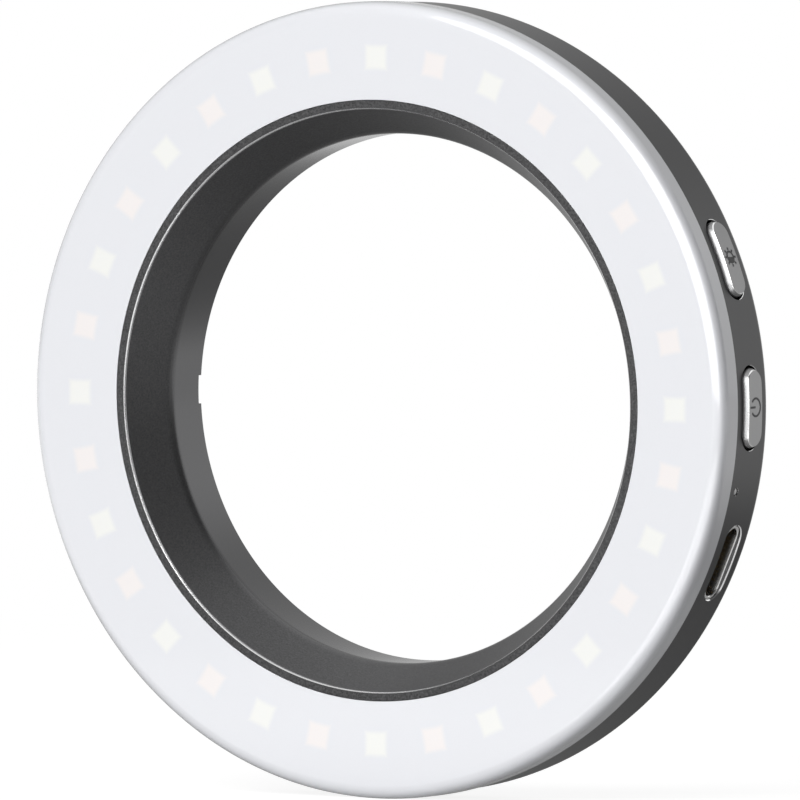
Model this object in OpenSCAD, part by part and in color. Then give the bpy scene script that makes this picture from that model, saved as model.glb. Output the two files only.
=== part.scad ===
// Ring video light that fits round a camera lens.
// The ring stands upright: its light face looks along -Y, up is +Z and the controls are on +X.
// The origin is the centre of the lens bore, in the plane of its rear rim.
// Every piece is drawn in a ring frame whose z axis runs from the rear rim to the light face,
// whose x axis is +X and whose angles turn from +X towards +Z.

/* [Ring] */
// Diameter of the lens bore
bore_d = 59.6; // [54:0.1:66]
// Width of the ring, from the bore to the outside
ring_w = 14.7; // [13.5:0.1:17]
// Depth of the space between the back wall and the flange of the light board
inner_depth = 5.1; // [4.6:0.1:6]
// Height by which the rear boss stands proud of the back
boss_proud = 1; // [0.8:0.05:1.2]
// Gap between pieces that slip into each other
slip_gap = 0.1; // [0.05:0.01:0.12]

/* [Diffuser] */
// Thickness of the milky light face
face_t = 1.2; // [1:0.05:1.4]
// Depth of the white side band, from the light face to the seam
band_depth = 3.4; // [3.2:0.05:3.6]
// Wall of the white side band
band_t = 1.75; // [1.65:0.05:1.95]
// Height by which the side band stands proud of the housing
band_proud = 0.35; // [0.1:0.05:0.4]
// Radius of the rounded outer edge of the light face
face_edge_r = 1.4; // [1:0.05:1.5]
// Length of the tongue that locates the diffuser in the housing
tongue_h = 0.8; // [0.6:0.05:0.9]
// Wall of that tongue
tongue_t = 0.7; // [0.5:0.05:0.8]

/* [Barrel] */
// Width by which the cone widens the bore
cone_w = 3; // [2.6:0.1:3.4]
// Width of the lip face, chamfer included
lip_w = 1; // [0.8:0.05:1.2]
// Chamfer between the lip face and the cone
lip_chamfer = 0.25; // [0.15:0.01:0.35]
// Depth of the cone, from the light face to the cylindrical bore
cone_depth = 5.5; // [5:0.1:6]
// Radius that blends the cone into the bore
throat_r = 3.5; // [2:0.1:4.5]
// Width of the ledge that carries the diffuser's inner edge
ledge_w = 1; // [0.8:0.05:1.1]
// Wall of the barrel tube behind the flange
tube_wall = 2; // [1.7:0.1:2.2]
// Thickness of the flange that carries the light board
flange_t = 1; // [0.9:0.05:1.1]
// Gap between the flange and the diffuser's tongue
flange_gap = 0.5; // [0.4:0.05:0.6]
// Width of the rear boss, from the bore outwards
boss_w = 5.2; // [4.9:0.1:5.7]
// Wall of the spigot inside the mount plate
spigot_wall = 1.2; // [1:0.1:1.4]
// Width of the key notch in the rear rim
notch_w = 3.2; // [2.6:0.1:4]
// Depth of the key notch
notch_depth = 0.45; // [0.3:0.05:0.5]
// Angle of the key notch
notch_angle = 180; // [150:1:210]

/* [Housing] */
// Thickness of the side wall
wall_t = 1.8; // [1.7:0.05:1.9]
// Thickness of the back wall
back_t = 1.4; // [1.3:0.05:1.5]
// Radius of the rear outer edge
back_edge_r = 1; // [0.6:0.05:1.2]

/* [Mount] */
// Thickness of the steel mount plate
plate_t = 0.5; // [0.4:0.05:0.6]
// Diameter of a holding magnet
magnet_d = 3; // [2.6:0.1:3.1]
// Thickness of a holding magnet
magnet_t = 1.5; // [1.2:0.05:1.6]
// Number of holding magnets
magnet_count = 12; // [6:1:16]
// Cover of solid boss over each magnet
magnet_cover = 0.55; // [0.4:0.05:0.6]

/* [Light board] */
// Number of light-emitting diodes, half of them cool and half warm
led_count = 32; // [24:2:36]
// Side of a diode
led_w = 3; // [2.8:0.1:3.1]
// Height of a diode
led_h = 0.65; // [0.6:0.01:0.7]
// Diameter of a diode's domed window
led_window_d = 2.5; // [2:0.1:2.6]
// Angle of the first diode, at the top of the ring
led_first = 90; // [84:1:96]
// Gap between a diode and the diffuser
led_gap = 0.45; // [0.4:0.05:0.5]
// Thickness of the light board
led_board_t = 1; // [0.8:0.05:1.1]
// Thickness of the thermal tape behind it
tape_t = 0.2; // [0.15:0.01:0.25]
// Thickness of the white reflector sheet
sheet_t = 0.25; // [0.2:0.01:0.3]
// Gap round each diode in the reflector sheet
window_gap = 0.15; // [0.1:0.01:0.2]
// Number of screws that hold the light board
led_screw_count = 4; // [2:1:8]

/* [Buttons] */
// Length of a button, round the ring
button_len = 9; // [8.4:0.1:9.4]
// Width of a button, along the ring's depth
button_w = 3.4; // [3:0.05:3.5]
// Height by which a button stands proud
button_proud = 0.6; // [0.4:0.05:0.7]
// Gap round a button in its slot
button_gap = 0.3; // [0.25:0.01:0.35]
// Travel of a button
button_travel = 0.25; // [0.2:0.01:0.3]
// Angle of the brightness button
brightness_angle = 22; // [20:0.5:24]
// Angle of the power button
power_angle = 0; // [-1:0.5:1]
// Overhang of the flange that keeps a button in
button_flange = 0.4; // [0.35:0.01:0.45]
// Thickness of that flange
button_flange_t = 0.6; // [0.5:0.01:0.65]
// Width of a tact switch, round the ring
switch_w = 6; // [5:0.1:6.4]
// Length of a tact switch, towards the ring's axis
switch_len = 3; // [2.6:0.1:3.2]
// Body below a switch plunger's centre line
switch_below = 1.3; // [1.1:0.05:1.5]
// Width of a switch plunger
plunger_w = 3; // [2:0.1:3.4]
// Height of a switch plunger
plunger_h = 1.5; // [1.2:0.05:1.6]
// Length of a plunger inside its switch
plunger_in = 1; // [0.8:0.05:1.2]

/* [Charge port] */
// Width of the receptacle shell
usb_w = 8.94; // [8.9:0.01:9]
// Height of the receptacle shell
usb_h = 3.16; // [3.1:0.01:3.26]
// Length of the receptacle shell
usb_len = 7.3; // [6.9:0.1:7.4]
// Sheet thickness of the shell
usb_wall = 0.3; // [0.25:0.01:0.32]
// Gap between the shell and the housing
usb_gap = 0.1; // [0.08:0.01:0.14]
// Recess of the shell's mouth below the side wall
usb_recess = 0.1; // [0.05:0.01:0.2]
// Angle of the port
usb_angle = -23.25; // [-24:0.25:-22]
// Width of the tongue
tongue_w = 6.69; // [6.6:0.01:6.75]
// Thickness of the tongue
tongue_plate_t = 0.7; // [0.65:0.01:0.75]
// Recess of the tongue's tip behind the mouth
tongue_recess = 0.9; // [0.8:0.05:1.1]
// Length of the moulded block that carries the tongue
tongue_base = 1.8; // [1.5:0.1:2]
// Contacts on each side of the tongue
contact_count = 12; // [6:1:12]
// Pitch of the contacts
contact_pitch = 0.5; // [0.45:0.01:0.5]
// Width of a contact
contact_w = 0.25; // [0.2:0.01:0.3]
// Length of a contact
contact_len = 3.4; // [3:0.1:3.6]
// Thickness of a contact
contact_t = 0.06; // [0.04:0.01:0.1]

/* [Indicator] */
// Diameter of the indicator hole
indicator_d = 1.1; // [0.9:0.05:1.2]
// Distance of the indicator behind the flange of the light board
indicator_drop = 0.8; // [0.75:0.01:0.9]
// Angle of the indicator
indicator_angle = -12.25; // [-13:0.25:-11.5]
// Side of the light pipe's collecting block
pipe_block = 1.6; // [1.5:0.05:1.7]
// Thickness of that block
pipe_block_t = 0.6; // [0.5:0.05:0.7]
// Side of the indicator diode
indicator_led_w = 0.8; // [0.7:0.05:0.9]
// Height of the indicator diode
indicator_led_h = 0.6; // [0.5:0.05:0.7]

/* [Main board] */
// Thickness of the main board
board_t = 0.8; // [0.7:0.05:0.9]
// Gap between the main board and the flange of the light board
board_gap = 0.42; // [0.3:0.01:0.5]
// Distance of the main board's outer edge from the housing wall
board_edge = 1.7; // [1.6:0.05:1.8]
// Distance of its inner edge from the barrel tube
board_inner = 1.6; // [1.4:0.05:1.8]
// Angle at which the main board starts
board_start = -36; // [-37:0.5:-35.5]
// Angle at which the main board ends
board_end = 34; // [33.5:0.5:35]
// Angles of the main board's screws
board_screw_angles = [-33.4, 11];
// Angles of the charging and driver chips, either side of the control chip
driver_chip_angles = [-9.5, 9];
// Angle of the boost inductor
inductor_angle = 17.5; // [17:0.1:18]
// Angles of the chip capacitors
capacitor_angles = [-16.5, -14.5, -5, 4.6, 24];
// Angle of the battery socket
socket_angle = 30.5; // [30:0.1:30.6]
// Angle of the pins that feed the light board
feed_pin_angle = -32; // [-32.5:0.1:-31.5]
// Number of those pins
feed_pin_count = 3; // [2:1:3]
// Width of the control chip, round the ring
control_chip_w = 4; // [3:0.1:4]
// Side of the charging and driver chips
driver_chip_w = 3; // [2.5:0.1:3.2]
// Height of a chip
chip_h = 0.8; // [0.6:0.05:1]
// Width of the boost inductor, round the ring
inductor_w = 4; // [3:0.1:4]
// Height of the boost inductor
inductor_h = 1.9; // [1.5:0.1:2.2]
// Length of a chip capacitor
capacitor_len = 1.6; // [1.4:0.1:1.8]
// Height of the battery socket
socket_h = 1.9; // [1.6:0.1:2.2]
// Side of the battery socket
socket_w = 3.6; // [3.2:0.1:4]
// Diameter of the pins that feed the light board
feed_pin_d = 0.5; // [0.4:0.05:0.6]
// Pitch of those pins
feed_pin_pitch = 1.25; // [1.1:0.05:1.3]

/* [Battery] */
// Length of a battery cell, round the ring
cell_len = 21; // [19:0.1:21.5]
// Thickness of the foam pads on both sides of a cell
pad_t = 0.45; // [0.4:0.01:0.6]
// Distance of a cell's tabs from its middle
tab_offset = 3; // [2:0.1:4]
// Width of the sealed edge with the cell's tabs
cell_terrace = 1.2; // [1:0.05:1.4]
// Radius of the cell's long edges
cell_edge_r = 0.8; // [0.5:0.05:1]
// Gap between neighbouring cells
cell_gap = 0.6; // [0.4:0.05:0.8]
// Diameter of a battery lead
lead_d = 0.9; // [0.7:0.05:1]

/* [Screws] */
// Radius of a screw's shank
screw_r = 0.7; // [0.6:0.01:0.75]
// Radius of a screw's head
screw_head_r = 1.4; // [1.2:0.05:1.5]
// Height of a case screw's head
screw_head_h = 0.6; // [0.5:0.01:0.65]
// Height of a board screw's head
board_head_h = 0.4; // [0.3:0.01:0.45]
// Radius of a board screw's head
board_head_r = 1.05; // [1:0.01:1.1]
// Length of a case screw below its head
case_screw_len = 4.4; // [4:0.1:4.8]
// Radius of a screw post
post_r = 1.8; // [1.6:0.05:1.9]

/* [Hidden] */
$fn = 96;

// Overshoot of a cutting shape past the face that it cuts
over = 1;
// Turn of a full circle, shared out where pieces repeat round the ring
turn = 360;

// Radii of the ring's main surfaces
bore_r = bore_d / 2;
outer_r = bore_r + ring_w;
mouth_r = bore_r + cone_w;
lip_r = mouth_r + lip_w;
hub_r = lip_r + ledge_w;
tube_r = bore_r + tube_wall;
boss_r = bore_r + boss_w;
spigot_r = bore_r + spigot_wall;
wall_in_r = outer_r - wall_t;
face_r = outer_r + band_proud;
band_in_r = face_r - band_t;
tongue_out_r = band_in_r + tongue_t;
flange_r = band_in_r - flange_gap;

// Heights above the rear rim, stacked up from the back wall to the light face
back_z = boss_proud;
back_in_z = back_z + back_t;
boss_top_z = plate_t + magnet_t + magnet_cover;
flange_z = back_in_z + inner_depth;
flange_top_z = flange_z + flange_t;
led_board_z = flange_top_z + tape_t;
led_board_top_z = led_board_z + led_board_t;
led_top_z = led_board_top_z + led_h;
face_in_z = led_top_z + led_gap;
ring_depth = face_in_z + face_t;
seam_z = ring_depth - band_depth;
throat_z = ring_depth - cone_depth;

// Cone and the radius that blends it into the bore
cone_angle = atan(cone_w / (cone_depth - lip_chamfer));
throat_run = throat_r * tan(cone_angle / 2);

// Light board: its diodes lie on the middle of the flat light face
led_circle_r = (lip_r + face_r - face_edge_r) / 2;
led_pitch = turn / led_count;
led_board_in_r = hub_r + slip_gap;
led_board_out_r = flange_r - 2 * slip_gap;
led_screw_circle_r = led_board_out_r - board_head_r - slip_gap;

// Side controls: the buttons' flanges fill the space inside, and the port hangs from the main board
button_z = back_in_z + inner_depth / 2;
board_front_z = flange_z - board_gap;
board_rear_z = board_front_z - board_t;
usb_z = board_rear_z - usb_h / 2;
indicator_z = flange_z - indicator_drop;
flange_len = button_len + 2 * (button_gap + button_flange);
flange_w = inner_depth - 4 * slip_gap;
flange_top_x = sqrt(pow(wall_in_r, 2) - pow(flange_len / 2, 2)) - slip_gap;
flange_in_x = flange_top_x - button_flange_t;
mouth_x = sqrt(pow(outer_r, 2) - pow(usb_w / 2, 2)) - usb_recess;
shell_back_x = mouth_x - usb_len;

// Main board, with its parts on the rear face
board_out_r = wall_in_r - board_edge;
board_in_r = tube_r + board_inner;
switch_front_x = board_out_r - 2 * slip_gap;
inner_row_w = switch_front_x - switch_len - board_in_r - 4 * slip_gap;
inner_row_r = board_in_r + 2 * slip_gap + inner_row_w / 2;
board_screw_r = board_out_r - screw_head_r - slip_gap;
feed_pin_r = led_board_in_r + feed_pin_d + 2 * slip_gap;
feed_pin_step = feed_pin_pitch / feed_pin_r * turn / (2 * PI);
pipe_in_x = board_out_r + 2 * slip_gap;

// Battery, in pairs of cells in the three quadrants that the main board leaves free
quadrants = [90, 180, 270];
lead_circle_r = tube_r + slip_gap + lead_d / 2;
plug_end = socket_w / 2 + slip_gap + 2 * lead_d;
lead_start = socket_angle + asin((plug_end + slip_gap) / lead_circle_r);
cell_x = lead_circle_r + lead_d;
cell_w = sqrt(pow(wall_in_r - cell_gap, 2) - pow(cell_len / 2, 2)) - cell_x;
cell_t = inner_depth - 2 * pad_t;
cell_spread = 2 * atan((cell_len + cell_gap) / 2 / cell_x);
cell_angles = [for (quadrant = quadrants) for (side = [-1, 1]) quadrant + side * cell_spread / 2];
cell_z = back_in_z + pad_t;
cell_mid_z = cell_z + cell_t / 2;

// Screw posts between the cells and beside the main board
post_count = 4;
post_first = 45;
post_circle_r = wall_in_r - post_r - board_edge / 2;
pilot_r = screw_r + slip_gap / 2;

// Turns the ring frame upright: its z axis becomes -Y and its angles rise towards +Z
module upright() {
    rotate([90, 0, 0]) children();
}

// Moves children out along the radial line at an angle, at a radius and a height
module at_radial(angle, radius, z) {
    rotate([0, 0, angle]) translate([radius, 0, z]) children();
}

// Repeats children round the ring
module round_ring(count, first, radius, z) {
    for (index = [0 : count - 1]) at_radial(first + index * turn / count, radius, z) children();
}

// Flat ring with square edges
module flat_ring(in_r, out_r, z, thickness) {
    rotate_extrude() translate([in_r, z]) square([out_r - in_r, thickness]);
}

// Outline with half-round ends, centred, with its length along x
module stadium(length, width) {
    square([length - width, width], center = true);
    for (side = [-1, 1]) translate([side * (length - width) / 2, 0]) circle(d = width);
}

// Rectangle with round corners, centred
module round_rect(length, width, radius) {
    square([length - 2 * radius, width], center = true);
    square([length, width - 2 * radius], center = true);
    for (across = [-1, 1], along = [-1, 1])
        translate([across * (length / 2 - radius), along * (width / 2 - radius)]) circle(r = radius);
}

// Extrudes an outline outwards: its x runs round the ring and its y along the ring's depth
module outwards(from_x, to_x) {
    translate([from_x, 0, 0]) rotate([90, 0, 90]) linear_extrude(to_x - from_x) children();
}

// Block centred round the ring, from one radius to another and from one height to another
module block(from_x, to_x, width, from_z, to_z) {
    translate([from_x, -width / 2, from_z]) cube([to_x - from_x, width, to_z - from_z]);
}

// Opening through the side wall with half-round ends, cut square to the wall at its middle
module wall_slot(angle, z, length, width) {
    rotate([0, 0, angle]) translate([0, 0, z])
        outwards(wall_in_r - over, outer_r + over) stadium(length, width);
}

// Cross-shaped driver recess, cut upwards from z = 0
module cross_recess(head_r, depth) {
    arm = head_r * 1.3;
    blade = head_r / 3;
    for (quarter = [0, 90]) rotate([0, 0, quarter])
        translate([-arm / 2, -blade / 2, -over]) cube([arm, blade, depth + over]);
}

// Screw whose head ends at z = 0 and whose shank runs up from there
module screw(head_r, head_h, length) {
    difference() {
        translate([0, 0, -head_h]) cylinder(h = head_h, r = head_r);
        translate([0, 0, -head_h]) cross_recess(head_r, head_h / 2);
    }
    cylinder(h = length - screw_r, r = screw_r);
    translate([0, 0, length - screw_r]) cylinder(h = screw_r, r1 = screw_r, r2 = screw_r / 3);
}

// Holes for the light board's screws, at a height and to a depth
module led_screw_holes(radius, z, depth) {
    round_ring(led_screw_count, led_pitch / 2, led_screw_circle_r, z) cylinder(h = depth, r = radius);
}

// Clearance for the pins that feed the light board
module feed_slot(z, depth) {
    at_radial(feed_pin_angle, feed_pin_r, z)
        block(-feed_pin_d, feed_pin_d, feed_pin_pitch * feed_pin_count, 0, depth);
}

// Space inside the barrel: the bore, the cone and the radius between them
module bore_space() {
    polygon([[0, -over], [bore_r, -over], [bore_r, throat_z], [mouth_r, ring_depth - lip_chamfer],
        [mouth_r + lip_chamfer, ring_depth], [mouth_r + lip_chamfer, ring_depth + over],
        [0, ring_depth + over]]);
    difference() {
        polygon([[bore_r - over, throat_z - throat_run], [bore_r, throat_z - throat_run],
            [bore_r, throat_z], [bore_r + throat_run * sin(cone_angle), throat_z + throat_run * cos(cone_angle)],
            [bore_r - over, throat_z + throat_run]]);
        translate([bore_r + throat_r, throat_z - throat_run]) circle(r = throat_r, $fn = 360);
    }
}

// Inner barrel: lip, cone and lens bore in front, light board flange, screw posts and rear boss
module inner_barrel() {
    color([0.2, 0.2, 0.21]) upright() difference() {
        union() {
            rotate_extrude($fn = 180) difference() {
                polygon([[bore_r - over, 0], [spigot_r, 0], [spigot_r, plate_t], [boss_r, plate_t],
                    [boss_r, boss_top_z], [tube_r, boss_top_z], [tube_r, flange_z], [flange_r, flange_z],
                    [flange_r, flange_top_z], [hub_r, flange_top_z], [hub_r, face_in_z],
                    [lip_r, face_in_z], [lip_r, ring_depth], [bore_r - over, ring_depth]]);
                bore_space();
            }
            round_ring(post_count, post_first, post_circle_r, back_in_z)
                cylinder(h = flange_top_z - back_in_z, r = post_r);
            for (angle = board_screw_angles) at_radial(angle, board_screw_r, board_front_z)
                cylinder(h = flange_top_z - board_front_z, r = post_r);
        }
        round_ring(post_count, post_first, post_circle_r, back_in_z - over)
            cylinder(h = case_screw_len + over, r = pilot_r);
        for (angle = board_screw_angles) at_radial(angle, board_screw_r, board_front_z - over)
            cylinder(h = flange_t + over, r = pilot_r);
        led_screw_holes(pilot_r, flange_z - over, flange_t + 2 * over);
        feed_slot(flange_z - over, flange_t + 2 * over);
        round_ring(magnet_count, 0, (spigot_r + boss_r) / 2, plate_t - over)
            cylinder(h = magnet_t + slip_gap / 2 + over, d = magnet_d + slip_gap);
        at_radial(notch_angle, bore_r, 0)
            block(-over, spigot_r - bore_r + over, notch_w, -over, notch_depth);
    }
}

// Diffuser: milky light face with a rounded edge, white side band and locating tongue
module diffuser() {
    color([0.95, 0.95, 0.97]) upright() rotate_extrude($fn = 180) {
        difference() {
            translate([lip_r + slip_gap, seam_z]) square([face_r - lip_r - slip_gap, band_depth]);
            translate([0, seam_z - over]) square([band_in_r, face_in_z - seam_z + over]);
            difference() {
                translate([face_r - face_edge_r, ring_depth - face_edge_r]) square(face_edge_r + over);
                translate([face_r - face_edge_r, ring_depth - face_edge_r])
                    circle(r = face_edge_r, $fn = 180);
            }
        }
        translate([band_in_r, seam_z - tongue_h]) square([tongue_t, tongue_h + slip_gap]);
    }
}

// Housing: side wall and back wall, with slots for the buttons, the port and the indicator
module housing() {
    color([0.29, 0.29, 0.3]) upright() difference() {
        rotate_extrude($fn = 180) difference() {
            translate([boss_r + slip_gap, back_z]) square([outer_r - boss_r - slip_gap, seam_z - back_z]);
            translate([0, back_in_z]) square([wall_in_r, seam_z]);
            translate([0, seam_z - tongue_h - slip_gap]) square([tongue_out_r + slip_gap, seam_z]);
            difference() {
                translate([outer_r - back_edge_r, back_z - over]) square(back_edge_r + over);
                translate([outer_r - back_edge_r, back_z + back_edge_r])
                    circle(r = back_edge_r, $fn = 180);
            }
        }
        for (angle = [brightness_angle, power_angle])
            wall_slot(angle, button_z, button_len + 2 * button_gap, button_w + 2 * button_gap);
        wall_slot(usb_angle, usb_z, usb_w + 2 * usb_gap, usb_h + 2 * usb_gap);
        at_radial(indicator_angle, wall_in_r - over, indicator_z) rotate([0, 90, 0])
            cylinder(h = wall_t + 2 * over, d = indicator_d);
        round_ring(post_count, post_first, post_circle_r, back_z - over) {
            cylinder(h = back_t + 2 * over, r = screw_r + slip_gap);
            cylinder(h = screw_head_h + slip_gap + over, r = screw_head_r + slip_gap);
        }
    }
}

// Mount plate: steel washer on the rear boss, behind the magnets
module mount_plate() {
    color([0.45, 0.45, 0.47]) upright() flat_ring(spigot_r + slip_gap, boss_r, 0, plate_t);
}

// Holding magnets in the rear boss
module mount_magnets() {
    color([0.7, 0.7, 0.72]) upright() round_ring(magnet_count, 0, (spigot_r + boss_r) / 2, plate_t)
        cylinder(h = magnet_t, d = magnet_d);
}

// Case screws: through the back wall into the barrel's posts
module case_screws() {
    color([0.15, 0.15, 0.16]) upright()
        round_ring(post_count, post_first, post_circle_r, back_z + screw_head_h + slip_gap)
            screw(screw_head_r, screw_head_h, case_screw_len);
}

// Light board: aluminium-backed board that carries the diodes
module led_board() {
    color([0.9, 0.9, 0.88]) upright() difference() {
        flat_ring(led_board_in_r, led_board_out_r, led_board_z, led_board_t);
        led_screw_holes(screw_r + slip_gap, led_board_z - over, led_board_t + 2 * over);
        feed_pins(slip_gap);
    }
}

// One diode with its domed window
module led() {
    translate([-led_w / 2, -led_w / 2, 0]) cube([led_w, led_w, led_h - slip_gap]);
    cylinder(h = led_h, d = led_window_d);
}

// Cool diodes: every second one, with one at the top of the ring
module cool_leds() {
    color([0.93, 0.97, 0.85]) upright()
        round_ring(led_count / 2, led_first, led_circle_r, led_board_top_z) led();
}

// Warm diodes: those between the cool ones
module warm_leds() {
    color([1, 0.88, 0.72]) upright()
        round_ring(led_count / 2, led_first + led_pitch, led_circle_r, led_board_top_z) led();
}

// Reflector sheet: white film with a window for each diode and a hole for each screw head
module reflector_sheet() {
    window = led_w + 2 * window_gap;
    color([0.98, 0.98, 0.98]) upright() difference() {
        flat_ring(led_board_in_r, led_board_out_r, led_board_top_z, sheet_t);
        round_ring(led_count, led_first, led_circle_r, led_board_top_z)
            block(-window / 2, window / 2, window, -over, sheet_t + over);
        led_screw_holes(board_head_r + slip_gap / 2, led_board_top_z - over, sheet_t + 2 * over);
        feed_slot(led_board_top_z - over, sheet_t + 2 * over);
    }
}

// Thermal tape between the light board and the flange
module thermal_tape() {
    color([0.75, 0.78, 0.85]) upright() difference() {
        flat_ring(led_board_in_r, led_board_out_r, flange_top_z, tape_t);
        led_screw_holes(screw_r + slip_gap, flange_top_z - over, tape_t + 2 * over);
        feed_slot(flange_top_z - over, tape_t + 2 * over);
    }
}

// Screws that hold the light board to the flange
module led_board_screws() {
    length = led_board_t + tape_t + flange_t - slip_gap;
    color([0.8, 0.8, 0.8]) upright()
        round_ring(led_screw_count, led_pitch / 2, led_screw_circle_r, led_board_top_z)
            mirror([0, 0, 1]) screw(board_head_r, board_head_h, length);
}

// Pins that feed the light board from the main board, with a gap for their holes
module feed_pins(gap) {
    for (index = [0 : feed_pin_count - 1])
        at_radial(feed_pin_angle + (index - (feed_pin_count - 1) / 2) * feed_pin_step, feed_pin_r,
            board_rear_z - led_gap)
            cylinder(h = led_top_z - board_rear_z, r = feed_pin_d / 2 + gap);
}

// Feed pins as pieces
module led_feed_pins() {
    color([0.85, 0.7, 0.35]) upright() feed_pins(0);
}

// Main board: carries the switches, the port, the chips and the indicator
module main_board() {
    color([0.08, 0.28, 0.16]) upright() difference() {
        rotate([0, 0, board_start]) rotate_extrude(angle = board_end - board_start)
            translate([board_in_r, board_rear_z]) square([board_out_r - board_in_r, board_t]);
        feed_pins(slip_gap);
        for (angle = board_screw_angles) at_radial(angle, board_screw_r, board_rear_z - over)
            cylinder(h = board_t + 2 * over, r = screw_r + slip_gap);
    }
}

// Screws that hold the main board to the barrel
module main_board_screws() {
    length = board_t + flange_z - board_front_z + flange_t / 2;
    color([0.8, 0.8, 0.8]) upright() for (angle = board_screw_angles)
        at_radial(angle, board_screw_r, board_rear_z) screw(board_head_r, board_head_h, length);
}

// Part on the rear face of the main board
module board_part(angle, radius, length, width, height) {
    at_radial(angle, radius, board_rear_z) block(-length / 2, length / 2, width, -height, 0);
}

// Control chip, charging chip and lamp driver
module control_chips() {
    color([0.12, 0.12, 0.13]) upright() {
        board_part(power_angle, inner_row_r, inner_row_w, control_chip_w, chip_h);
        for (angle = driver_chip_angles)
            board_part(angle, inner_row_r, driver_chip_w, driver_chip_w, chip_h);
    }
}

// Boost inductor
module boost_inductor() {
    color([0.3, 0.3, 0.32]) upright()
        board_part(inductor_angle, inner_row_r, inner_row_w, inductor_w, inductor_h);
}

// Chip capacitors
module chip_capacitors() {
    color([0.62, 0.5, 0.38]) upright() for (angle = capacitor_angles)
        board_part(angle, inner_row_r - chip_h, capacitor_len, capacitor_len / 2, capacitor_len / 2);
}

// Receptacle shell of the charge port
module usb_shell() {
    color([0.78, 0.78, 0.8]) upright() rotate([0, 0, usb_angle]) translate([0, 0, usb_z]) difference() {
        outwards(shell_back_x, mouth_x) stadium(usb_w, usb_h);
        outwards(shell_back_x + usb_wall, mouth_x + over)
            stadium(usb_w - 2 * usb_wall, usb_h - 2 * usb_wall);
    }
}

// Tongue of the charge port on its moulded block
module usb_tongue() {
    base_x = shell_back_x + usb_wall;
    color([0.1, 0.1, 0.1]) upright() rotate([0, 0, usb_angle]) translate([0, 0, usb_z]) {
        outwards(base_x, base_x + tongue_base)
            stadium(usb_w - 2 * (usb_wall + slip_gap), usb_h - 2 * (usb_wall + slip_gap));
        block(base_x, mouth_x - tongue_recess, tongue_w, -tongue_plate_t / 2, tongue_plate_t / 2);
    }
}

// Contacts on both faces of the tongue
module usb_contacts() {
    end_x = mouth_x - tongue_recess - contact_w;
    color([0.85, 0.68, 0.3]) upright() rotate([0, 0, usb_angle]) translate([0, 0, usb_z])
        for (side = [0, 1], index = [0 : contact_count - 1])
            mirror([0, 0, side]) translate([0, (index - (contact_count - 1) / 2) * contact_pitch, 0])
                block(end_x - contact_len, end_x, contact_w, tongue_plate_t / 2,
                    tongue_plate_t / 2 + contact_t);
}

// Button: cap whose face follows the ring's curve, with the flange that keeps it in
module button(angle) {
    rotate([0, 0, angle]) {
        intersection() {
            translate([0, 0, button_z]) outwards(flange_in_x, outer_r + 2 * button_proud)
                stadium(button_len, button_w);
            cylinder(h = ring_depth, r = outer_r + button_proud, $fn = 360);
        }
        translate([0, 0, button_z]) outwards(flange_in_x, flange_top_x) stadium(flange_len, flange_w);
    }
}

// Brightness button
module brightness_button() {
    color([0.62, 0.62, 0.63]) upright() button(brightness_angle);
}

// Power button
module power_button() {
    color([0.62, 0.62, 0.63]) upright() button(power_angle);
}

// Body of a side-push tact switch, with the window that its plunger slides in
module tact_switch(angle) {
    depth = plunger_in + button_travel + 2 * slip_gap;
    rotate([0, 0, angle]) difference() {
        block(switch_front_x - switch_len, switch_front_x, switch_w, button_z - switch_below, board_rear_z);
        block(switch_front_x - depth, switch_front_x + over, plunger_w + 2 * slip_gap,
            button_z - plunger_h / 2 - slip_gap, button_z + plunger_h / 2 + slip_gap);
    }
}

// Switch behind the brightness button
module brightness_switch() {
    color([0.2, 0.2, 0.2]) upright() tact_switch(brightness_angle);
}

// Switch behind the power button
module power_switch() {
    color([0.2, 0.2, 0.2]) upright() tact_switch(power_angle);
}

// Plunger of a tact switch, from inside the switch to the back of the button
module plunger(angle) {
    rotate([0, 0, angle]) block(switch_front_x - plunger_in, flange_in_x, plunger_w,
        button_z - plunger_h / 2, button_z + plunger_h / 2);
}

// Plunger behind the brightness button
module brightness_plunger() {
    color([0.85, 0.85, 0.82]) upright() plunger(brightness_angle);
}

// Plunger behind the power button
module power_plunger() {
    color([0.85, 0.85, 0.82]) upright() plunger(power_angle);
}

// Indicator diode at the edge of the main board
module indicator_led() {
    color([0.9, 0.95, 0.9]) upright() board_part(indicator_angle, board_out_r - indicator_led_w / 2,
        indicator_led_w, 2 * indicator_led_w, indicator_led_h);
}

// Light pipe: rod in the side wall with a block that collects the indicator's light
module light_pipe() {
    color([0.95, 0.95, 0.95]) upright() at_radial(indicator_angle, 0, indicator_z) {
        intersection() {
            translate([pipe_in_x, 0, 0]) rotate([0, 90, 0])
                cylinder(h = outer_r - pipe_in_x, d = indicator_d - slip_gap);
            translate([0, 0, -ring_depth]) cylinder(h = 2 * ring_depth, r = outer_r - slip_gap / 2, $fn = 360);
        }
        block(pipe_in_x, pipe_in_x + pipe_block_t, pipe_block, -pipe_block * 2 / 3, pipe_block / 3);
    }
}

// Socket for the battery plug, at the end of the main board
module battery_socket() {
    color([0.92, 0.9, 0.84]) upright() board_part(socket_angle, board_in_r + socket_w / 2,
        socket_w, socket_w, socket_h);
}

// Battery plug, where the two leads end
module battery_plug() {
    color([0.96, 0.95, 0.9]) upright() rotate([0, 0, socket_angle])
        translate([tube_r + slip_gap, socket_w / 2 + slip_gap, cell_mid_z - lead_d])
            cube([socket_w, 2 * lead_d, 2 * lead_d]);
}

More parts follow.
